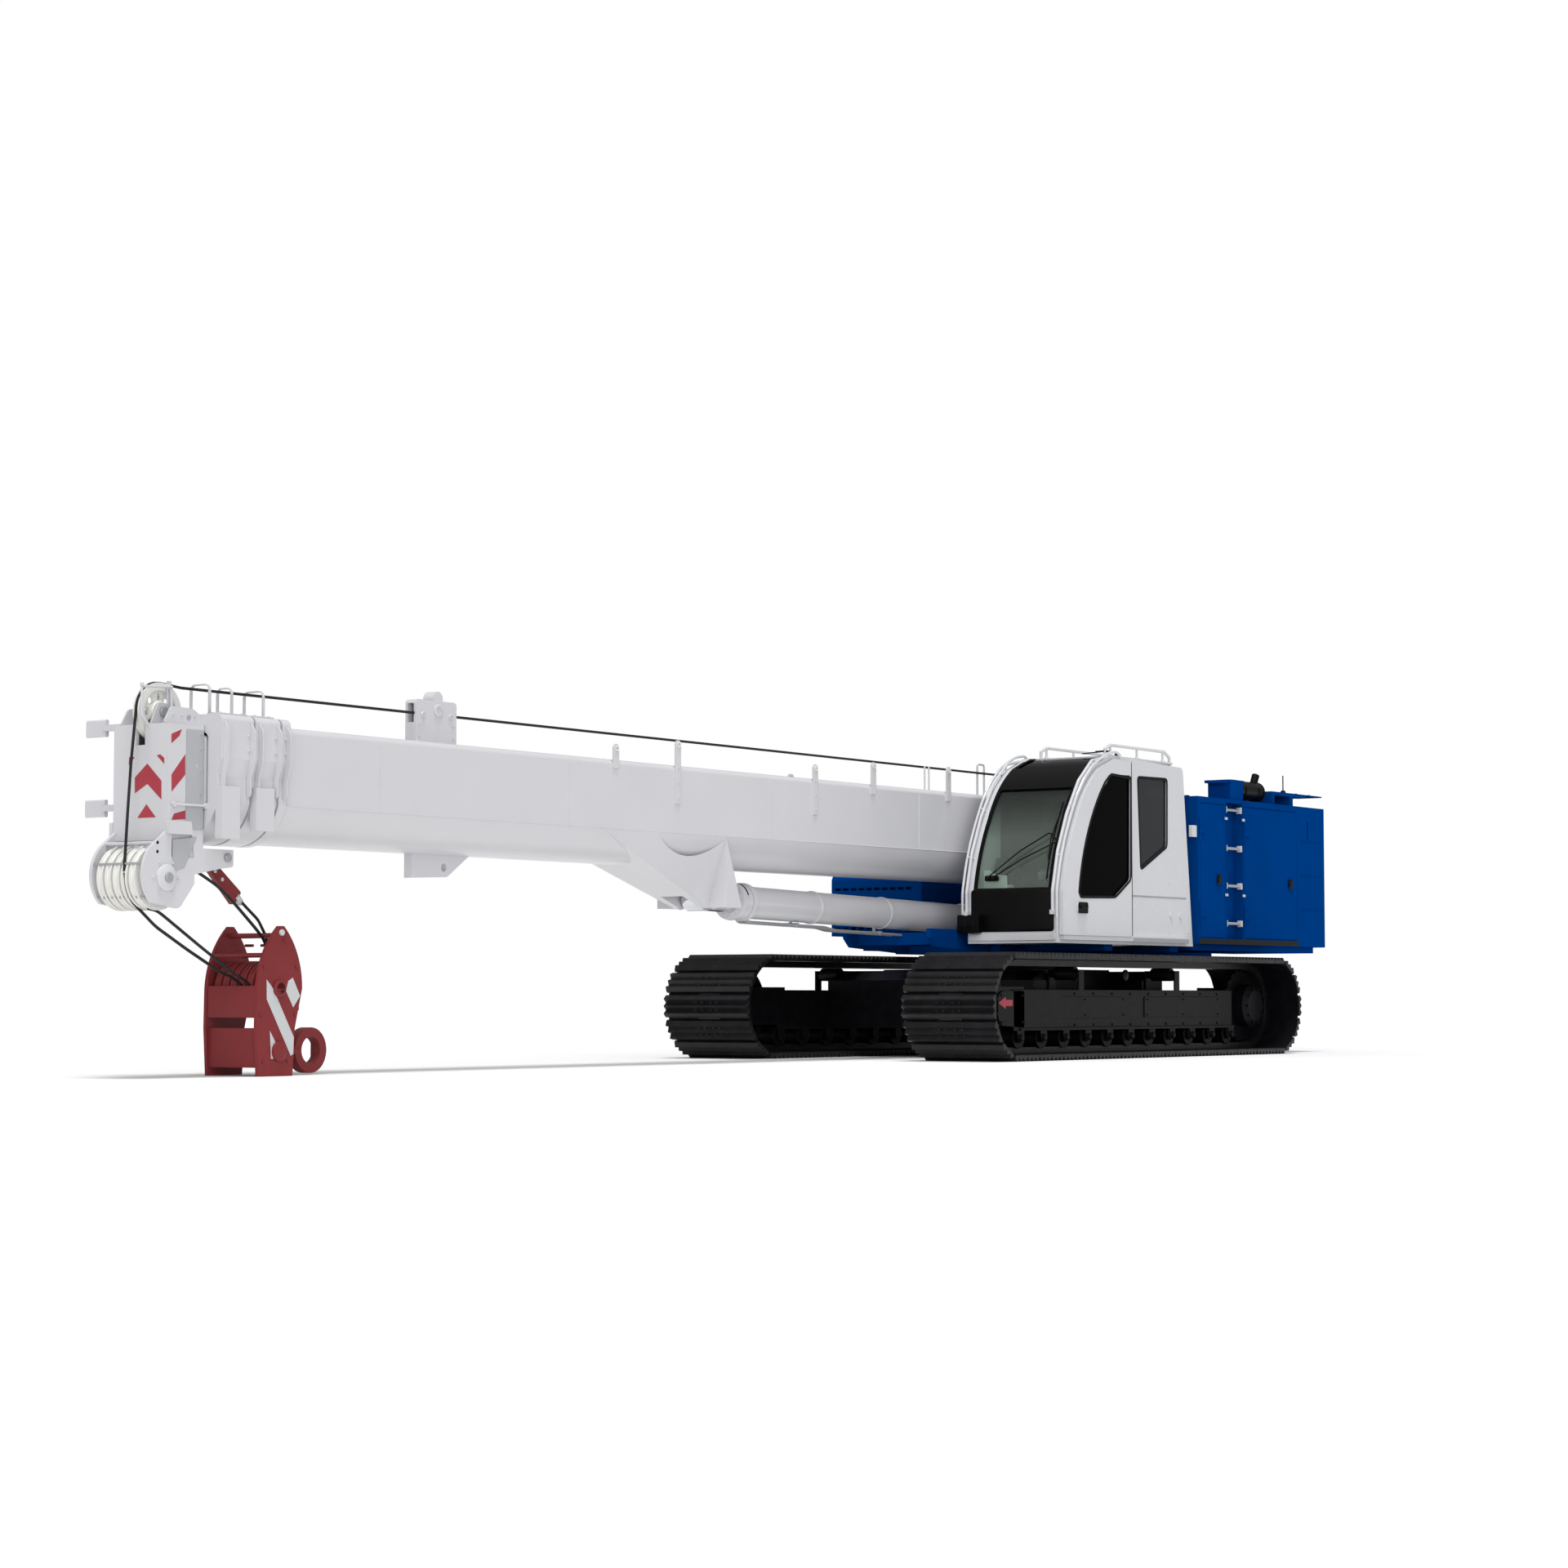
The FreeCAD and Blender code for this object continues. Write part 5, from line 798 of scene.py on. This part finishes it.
def cabWiper():
    bendRail([onScreen(0.745, 1.60), onScreen(1.04, 1.83), onScreen(1.30, 1.985)], 0.006, 6)
    bendRail([onScreen(0.80, 1.60), onScreen(1.08, 1.76), onScreen(1.40, 1.905)], 0.006, 6)
    bendRail([onScreen(1.30, 1.985), onScreen(1.345, 1.97), onScreen(1.40, 1.905)], 0.007, 6, 0.01)
    bendRail([onScreen(1.35, z, 0.012) for z in (1.58, 1.75, 1.93, 2.1, 2.27)], 0.007, 6)
    bendRail([onScreen(1.345, 1.75, 0.018), onScreen(1.34, 1.94, 0.036), onScreen(1.35, 2.12, 0.018)], 0.006,
             6)
    for y in (0.745, 0.80):
        turnPart(knob(0.022, 0.015, -0.02, 0.012, 0.018), onScreen(y, 1.60, 0.014), (1, 0, 0.25), 16)
    cutPlate(box(0.71, 1.575, 0.84, 1.625, 0.015), 1.35, 1.385, "x", (), 0.003)
    bendRail([(0.46, 1.33, 2.765), (0.20, 1.30, 2.79), (-0.05, 1.27, 2.782)], 0.007, 6)
    bendRail([(0.30, 1.10, 2.765), (0.31, 1.33, 2.775), (0.29, 1.38, 2.77)], 0.006, 6)
    turnPart(knob(0.03, 0.02, 0, 0.03, 0.045), (-0.05, 1.27, 2.738), "z", 16)
    putPiece("cabWipers", "blackPlastic")


def cabRails():
    for y, side in ((0.516, 1), (1.483, -1)):
        path = [(1.445, y, 1.24), (1.445, y, 1.48)]
        path += [onScreen(y, z, 0.042) for z in (1.7, 1.9, 2.1, 2.3, 2.45, 2.58, 2.66)]
        path += [(0.50, y, 2.745), (0.34, y, 2.765), (0.28, y, 2.71)]
        bendRail(path, 0.012, 8, 0.05)
        for z in (1.30, 1.78, 2.22, 2.60):
            a, b = onScreen(y, z, 0.042), onScreen(y + side * 0.042, z, 0.042)
            bendRail([a, b], 0.009, 6)
            bendRail([onScreen(y + side * 0.042, z, 0.03), onScreen(y + side * 0.042, z, -0.005)], 0.009, 6)
    for x in (0.20, -0.30, -0.80):
        for y in (0.664, 1.335):
            turnPart([(0, -0.10), (0.022, -0.10), (0.022, -0.086), (0.011, -0.08), (0.011, 0), (0, 0)],
                     (x, y, 2.838), "z", 12)
    putPiece("cabRails", "cabWhite")


def cabTrim():
    cutPlate(box(-1.175, 2.05, -1.09, 2.16, 0.01), 1.452, 1.492, "y", (), 0.003)
    cutPlate(box(0.56, 1.045, 1.44, 1.10, 0.012), 1.399, 1.412, "x", (), 0.002)
    cutPlate(box(-0.95, 0.62, 0.2, 1.38, 0.06), 2.722, 2.742, "z", (), 0.006)
    turnPart([(0, 0), (0.07, 0), (0.07, 0.03), (0.05, 0.05), (0, 0.055)], (-0.75, 0.9, 2.74), "z", 24)
    boltHeads([(x, cab["side"], z) for x in (-1.05, -0.68) for z in (1.15, 1.6)], 1, 0.009)
    for x in (-0.9, -0.72):
        turnPart(stub(0.03, 0, 0.01), (x, cab["side"], 1.3), 1, 12)
    putPiece("cabTrim", "cabWhite")
    cutPlate(box(-0.99, 1.045, 0.07, 1.085, 0.008), 1.492, 1.499, "y", (), 0.002)
    cutPlate(box(-1.02, 1.46, 0.05, 1.475, 0.004), cab["side"], 1.4575, "y")
    putPiece("cabGreys", "greySteel")
    cutPlate(box(0.469, 1.112, 0.690, 1.276, 0.014), 1.402, 1.4635, "x", (), 0.003)
    for y in (0.53, 0.617):
        turnPart(knob(0.042, 0.03, 0, 0.008, 0.012), (1.4635, y, 1.195), "x", 24)
    putPiece("lampCase", "blackPlastic")
    cutPlate(box(0.955, 1.285, 1.125, 1.385, 0.02), 1.518, 1.524, "y", (), 0.002)
    bendRail([(0.98, 1.522, 1.36), (0.98, 1.535, 1.34), (1.10, 1.535, 1.34), (1.10, 1.522, 1.36)], 0.008, 6,
             0.01)
    cutPlate(box(0.10, 1.10, 0.112, 2.68), 1.4985, 1.5005, "y")
    cutPlate(shiftPath(doorWindow, 0.012, True), cab["door"], 1.503, "y",
             [shiftPath(doorWindow, -0.012, True)])
    cutPlate(shiftPath(doorWindow, -0.008, True), 1.4915, 1.493, "y", [shiftPath(doorWindow, -0.03, True)])
    putPiece("doorTrim", "blackPlastic", "cab_door")


def cabInside():
    slab([(0.50, 2.63), (0.80, 2.47), (0.84, 2.50), (0.66, 2.60), (0.5, 2.66)], 0.02, 0.66, 1.35, 0.004)
    slab([(0.95, 1.09), (1.22, 1.09), (1.26, 1.50), (1.16, 1.56), (1.02, 1.46)], 0.04, 0.66, 0.86, 0.008)
    slab([(-0.9, 1.1), (-0.6, 1.1), (-0.62, 1.75), (-0.9, 1.85)], 0.05, 0.65, 1.38, 0.01)
    for y in (0.72, 1.32):
        slab([(-0.1, 1.62), (0.34, 1.62), (0.38, 1.68), (0.30, 1.72), (-0.1, 1.69)], 0.02, y - 0.05,
             y + 0.05, 0.006)
    cutPlate(rounded([(0.655, 1.48), (0.89, 1.48), (0.89, 1.625), (0.75, 1.64), (0.72, 1.675),
                      (0.655, 1.675)], 0.012), 1.29, 1.305, "x", (), 0.003)
    putPiece("cabConsole", "cabWhite")
    slab([(-0.505, 2.15), (-0.40, 2.15), (-0.42, 2.36), (-0.50, 2.36)], 0.03, 0.90, 1.14, 0.015)
    slab([(-0.33, 1.5), (0.28, 1.5), (0.26, 1.56), (-0.30, 1.57)], 0.025, 0.82, 1.22, 0.015)
    for y in (0.72, 1.32):
        turnPart([(0, 0), (0.035, 0), (0.028, 0.02), (0.012, 0.04), (0.012, 0.13), (0.026, 0.15),
                  (0.028, 0.20), (0.015, 0.23), (0, 0.23)], (0.26, y, 1.70), "z", 16)
    slab([(1.10, 1.56), (1.14, 1.56), (1.06, 1.80), (1.02, 1.79)], 0.01, 0.64, 0.86, 0.004)
    slab([(1.0, 1.45), (1.04, 1.45), (0.98, 1.64), (0.94, 1.63)], 0.01, 1.12, 1.34, 0.004)
    bendRail([(1.02, 1.23, 1.10), (1.02, 1.23, 1.46)], 0.018)
    for y in (0.98, 1.12):
        slab([(1.12, 1.10), (1.26, 1.20), (1.25, 1.215), (1.11, 1.115)], 0.005, y - 0.045, y + 0.045)
    for y in (0.80, 1.18):
        turnPart(stub(0.03, 0, 0.012), (0.74, y, 2.535), (0.5, 0, -0.86), 16)
    putPiece("cabControls", "blackPlastic")


cabGlazing()
cabWiper()
cabRails()
cabTrim()
cabInside()
print("cab is done")


# housings, counterweight and the things on the roof
house = {"out": 1.5, "roof": 2.44, "doorOut": 1.512, "ventFrom": 0.60, "ventTo": 1.05, "slats": 9}


def housingDetails():
    for sign in (1, -1):
        y = sign * house["out"]
        cutPlate(box(-3.30, 1.048, -1.19, 1.098), y, y + sign * 0.003, "y")
        # painted shade: a black plate at the back of the counterweight's slot, where shade falls
        cutPlate(box(-3.525, 2.13, -3.495, 2.28, 0.01), y - sign * 0.036, y - sign * 0.033, "y")
    bendRail([(-3.29, 1.35, 2.57), (-3.29, 1.35, 2.75)], 0.006, 6)
    turnPart(knob(0.028, 0.012, 0, 0.02, 0.035), (-3.29, 1.35, 2.57), "z", 16)
    for x in (-2.29, -2.79):
        turnPart([(0.06, -0.008), (0.098, -0.008), (0.1, 0), (0.098, 0.008), (0.06, 0.008)], (x, 1.30, 2.56),
                 "x", 28)
    for x in (-2.4, -2.68):
        bendRail([(x, 1.30 + 0.098 * math.cos(math.radians(a)),
                   2.56 + 0.098 * math.sin(math.radians(a))) for a in range(-200, 21, 20)], 0.006, 6)
    turnPart([(0.028, 0), (0.038, 0), (0.038, 0.10), (0.028, 0.10)], (-2.74, 1.30, 2.64), (-0.5, 0, 0.86),
             20)
    putPiece("housingBlack", "blackPlastic")
    for sign in (1, -1):
        y = sign * house["out"]
        for x in (-1.755, -2.105):
            cutPlate(box(x - 0.005, 1.12, x + 0.005, 2.42), y - 0.001 * sign, y + sign * 0.004, "y")
        for x in (-1.3, -2.2, -3.2):
            cutPlate(rounded([(x - 0.06, house["roof"]), (x + 0.06, house["roof"]), (x + 0.035, 2.52),
                              (x - 0.035, 2.52)], 0.015), sign * 0.85 - 0.012, sign * 0.85 + 0.012, "y",
                     [disc((x, 2.485), 0.018, 12)], 0.002)
        for x0, x1 in ((-1.25, -1.72), (-2.15, -3.25)):
            low, high = sorted((sign * house["ventFrom"], sign * house["ventTo"]))
            middle = (low + high) / 2
            cutPlate(box(x1, low, x0, high, 0.03), house["roof"], 2.447, "z", (), 0.002)
            for i in range(house["slats"]):
                a = x1 + 0.06 + i * (x0 - x1 - 0.12) / (house["slats"] - 1)
                cutPlate(box(a - 0.012, middle - 0.17, a + 0.012, middle + 0.17, 0.01), 2.447, 2.462, "z")
    for x in (-3.45, -3.75):
        boltHeads([(x, y, 2.5705) for y in (1.22, 1.41)], "z", 0.014)
    slab([(-1.87, 2.60), (-2.22, 2.60), (-2.22, 2.62), (-2.1, 2.64), (-1.99, 2.64), (-1.87, 2.62)], 0.008,
         1.25, 1.45, 0.003)
    putPiece("housingBlue", "deepBlue")
    for z in (2.25, 1.52):
        for x in (-1.75, -2.11):
            cutPlate(box(x - 0.02, z - 0.012, x + 0.02, z + 0.012, 0.003), 1.50, 1.512, "y")
    for z in (2.34, 1.97, 1.61, 1.25):
        for x in (-1.775, -2.085):
            cutPlate(box(x - 0.012, z - 0.03, x + 0.012, z + 0.03, 0.005), 1.45, 1.497, "y", (), 0.002)
    putPiece("stepBrackets", "paleGrey")
    for body, x, sign in (("front_door_left", -1.58, 1), ("rear_door_left", -3.11, 1),
                          ("front_door_right", -1.58, -1), ("rear_door_right", -3.11, -1)):
        y = sign * house["doorOut"]
        cutPlate(box(x - 0.042, 1.61, x + 0.042, 1.71, 0.012), y, y + sign * 0.004, "y", (), 0.001)
        cutPlate(box(x - 0.03, 1.63, x + 0.03, 1.68, 0.01), y + sign * 0.004, y + sign * 0.010, "y", (),
                 0.002)
        turnPart(stub(0.009, 0.004, 0.012), (x, y, 1.695), sign, 12)
        putPiece("latch" + body.title().replace("_", ""), "blackPlastic", body)


def weightDetails():
    for z in (1.42, 1.76, 2.10):
        for y in (1.5005, -1.5005):
            bendRail([(-3.36, y, z), (-3.85, y, z)], 0.004, 6)
    for sign in (1, -1):
        for x in (-3.5, -3.7):
            cutPlate(rounded([(x - 0.05, house["roof"]), (x + 0.05, house["roof"]), (x + 0.03, 2.51),
                              (x - 0.03, 2.51)], 0.015), sign * 0.5 - 0.02, sign * 0.5 + 0.02, "y",
                     [disc((x, 2.475), 0.016, 12)])
    putPiece("weightSeams", "deepBlue")


housingDetails()
weightDetails()
print("housings are done")


# undercarriage: shoe bolts, dark patches of painted shade in the shoe holes, arrow, panels, roller brackets
# and hub bolts
crawler = {"offset": 1.258, "axle": 0.4635, "radius": 0.4115, "reach": 2.45, "rows": 24, "bend": 6,
           "backOut": 0.4085, "backIn": 0.4045, "frameOut": 0.160, "boltRows": (-0.115, -0.045, 0.045, 0.115),
           "boltSteps": (-0.034, 0.034), "holeRows": (-0.19, 0.0, 0.19)}


def shoeSpots():
    spots = []
    for i in range(crawler["rows"] + 1):
        x = -crawler["reach"] + 2 * crawler["reach"] * i / crawler["rows"]
        spots += [(x, crawler["radius"], 0), (x, -crawler["radius"], math.pi)]
    for i in range(1, crawler["bend"]):
        turn = math.pi * i / crawler["bend"]
        x, z = crawler["radius"] * math.sin(turn), crawler["radius"] * math.cos(turn)
        spots += [(crawler["reach"] + x, z, turn), (-crawler["reach"] - x, z, -turn)]
    return spots


def loopOutline(radius, steps=16):
    ends = []
    for middle, first in ((crawler["reach"], -math.pi / 2), (-crawler["reach"], math.pi / 2)):
        turns = [first + math.pi * i / steps for i in range(steps + 1)]
        ends += [(middle + radius * math.cos(t), crawler["axle"] + radius * math.sin(t)) for t in turns]
    return ends


def dressTracks():
    for side, sign in (("Left", 1), ("Right", -1)):
        y = sign * crawler["offset"]
        outer, inner = loopOutline(crawler["backOut"]), loopOutline(crawler["backIn"])
        for low, high in ((-0.45, -0.116), (0.116, 0.45)):
            cutPlate(outer, y + low, y + high, "y", [inner])
        putPiece("shoeBacks" + side, "frameBlack", "undercarriage")
        shoes = []
        for x, z, turn in shoeSpots():
            up = Vector((math.sin(turn), 0, math.cos(turn)))
            along = Vector((math.cos(turn), 0, -math.sin(turn)))
            shoes.append((Vector((x, y, crawler["axle"] + z)), up, along))
        for centre, up, along in shoes:
            for across in crawler["boltRows"]:
                for step in crawler["boltSteps"]:
                    spot = centre + up * 0.0175 + along * step + Vector((0, across, 0))
                    boltHeads([spot], up, 0.012, 0.014)
        putPiece("shoeBolts" + side, "trackSteel", "undercarriage")
        # painted shade: thin dark patches on the shoes stand in for the shade in their holes
        for centre, up, along in shoes:
            for across in crawler["holeRows"]:
                spot = centre + up * 0.019 + Vector((0, across, 0))
                corners = [spot + along * a + Vector((0, b, 0)) for a, b in box(-0.022, -0.03, 0.022, 0.03)]
                low = [bench.verts.new(p) for p in corners]
                high = [bench.verts.new(p + up * 0.0015) for p in corners]
                bench.faces.new(high)
                for i in range(4):
                    bench.faces.new([low[i], low[(i + 1) % 4], high[(i + 1) % 4], high[i]])
        putPiece("shoeHoleShade" + side, "blackPlastic", "undercarriage")


def frameDetails():
    for sign in (1, -1):
        face = sign * (crawler["offset"] + crawler["frameOut"])
        for z in (0.30, 0.575):
            boltHeads([(x, face, z) for x in [-1.7 + 0.34 * i for i in range(11)]], sign, 0.013)
        slab([(1.92, 0.28), (2.30, 0.30), (2.36, 0.36), (2.36, 0.56), (2.28, 0.60), (1.92, 0.60)], 0.03,
             face, face + sign * 0.014, 0.003)
        slab([(0.1, 0.36), (1.6, 0.36), (1.66, 0.42), (1.66, 0.50), (1.6, 0.55), (0.1, 0.55)], 0.02, face,
             face + sign * 0.008, 0.002)
        cutPlate(box(-1.75, 0.36, -0.25, 0.55, 0.02), face, face + sign * 0.008, "y", (), 0.002)
        boltHeads([(x, face + sign * 0.014, z) for x in (1.96, 2.30) for z in (0.33, 0.56)], sign, 0.012)
        for x in (0.15, 0.85, 1.55, -1.7, -1.0, -0.3):
            boltHeads([(x, face + sign * 0.008, z) for z in (0.385, 0.525)], sign, 0.009)
        for x, r in ((crawler["reach"], 0.11), (-crawler["reach"], 0.17)):
            out = crawler["offset"] + (0.162 if x > 0 else 0.19)
            hub = disc((x, crawler["axle"]), r, 10)
            boltHeads([(a, sign * out, b) for a, b in hub], sign, 0.014, 0.010)
        for x in (-0.9, 0.0, 0.9):
            turnPart(knob(0.05, 0.03, 0.1, 0.115, 0.125), (x, sign * crawler["offset"], 0.745), sign, 20)
        for i in range(11):
            x = -1.975 + i * 0.395
            turnPart([(0, 0.165), (0.032, 0.165), (0.03, 0.185), (0.018, 0.19), (0, 0.19)],
                     (x, sign * crawler["offset"], 0.195), sign, 16)
            cutPlate(rounded([(x - 0.06, 0.27), (x + 0.06, 0.27), (x + 0.035, 0.16), (x - 0.035, 0.16)],
                             0.02), sign * (crawler["offset"] + 0.155), sign * (crawler["offset"] + 0.168),
                     "y", (), 0.002)
    putPiece("frameIron", "frameBlack", "undercarriage")
    y = crawler["offset"] + crawler["frameOut"] + 0.014
    arrow = [(2.355, 0.495), (2.235, 0.547), (2.235, 0.522), (2.12, 0.522), (2.12, 0.468), (2.235, 0.468),
             (2.235, 0.443)]
    cutPlate(arrow, y, y + 0.0015, "y")
    putPiece("goMark", "signRed", "undercarriage")


dressTracks()
frameDetails()
print("undercarriage is done")


# hook block: pale bands, sheave covers, pins, socket and hook details
block = {
    "out": 0.25, "inner": 0.226, "pivot": (9.95, 0, 0.17),
    "bands": ([(10.075, 0.663), (10.072, 0.527), (9.83, 0.138), (9.805, 0.15), (9.80, 0.265),
               (10.006, 0.596)],
              [(9.860, 0.653), (9.816, 0.676), (9.741, 0.55), (9.809, 0.47), (9.884, 0.585)],
              [(10.038, 0.312), (10.024, 0.12), (9.947, 0.118), (9.933, 0.163)]),
    "bolts": ((9.79, 0.42), (10.13, 0.42), (9.78, 0.75), (10.10, 0.75), (9.90, 0.93), (9.86, 0.10),
              (10.10, 0.10)),
}


def blockDetails():
    for sign in (1, -1):
        for outline in block["bands"]:
            cutPlate(outline, sign * block["out"], sign * 0.2515, "y")
    putPiece("blockBands", "paleGrey", "hook_block")
    for sign in (1, -1):
        y = sign * block["out"]
        turnPart(knob(0.06, 0.05, 0.25, 0.262, 0.27), rope["blockWheel"], sign, 28)
        turnPart(knob(0.07, 0.05, 0.25, 0.266, 0.274), block["pivot"], sign, 24)
        boltHeads([(x, y, z) for x, z in block["bolts"]], sign, 0.014)
    for x0, x1, z0, z1 in ((10.135, 10.16, 0.40, 0.62), (9.725, 9.75, 0.45, 0.62)):
        cutPlate(box(x0, z0, x1, z1, 0.006), -block["inner"], block["inner"], "y", (), 0.003)
    slab([(10.10, 0.62), (10.165, 0.62), (10.165, 0.68), (10.12, 0.78), (10.10, 0.76)], 0.01, -block["inner"],
         -0.215)
    for y in (-0.15, 0.0, 0.15):
        bendRail([(9.83, y - 0.037, 0.90), (9.83, y + 0.037, 0.90)], 0.01)
    for x, z, radius in ((9.94, 0.965, 0.018), (9.80, 0.83, 0.014), (10.10, 0.83, 0.014)):
        bendRail([(x, -block["inner"], z), (x, block["inner"], z)], radius)
    putPiece("blockIron", "hookRed", "hook_block")
    for sign in (1, -1):
        turnPart(knob(0.022, 0.016, 0.25, 0.264, 0.27), (9.935, 0, 0.985), sign, 16)
    putPiece("blockPins", "paleGrey", "hook_block")
    turnPart([(0.045, 0.0), (0.07, 0.0), (0.075, 0.02), (0.075, 0.07), (0.07, 0.09), (0.045, 0.09)],
             (9.60, 0, 0.17), "x", 24)
    bendRail([(9.30, -0.046, 0.22), (9.30, -0.046, 0.12)], 0.008, 6)
    slab([(9.50, 0.20), (9.60, 0.24), (9.60, 0.10), (9.50, 0.14)], 0.02, -0.03, 0.03, 0.004)
    putPiece("hookDetails", "hookRed", "ring_hook")
    for sign in (1, -1):
        for x, z, r in ((10.35, 1.40, 0.014), (10.28, 1.345, 0.014)):
            turnPart(stub(r, 0.02, 0.026), (x, 0, z), sign, 12)
    turnPart([(0.012, 0), (0.03, 0), (0.026, 0.06), (0.016, 0.08), (0.012, 0.08)], (10.13, 0, 1.235),
             (-0.75, 0, -0.66), 16)
    putPiece("socketDetails", "paleGrey", "rope_socket")


blockDetails()
print("hook block is done")
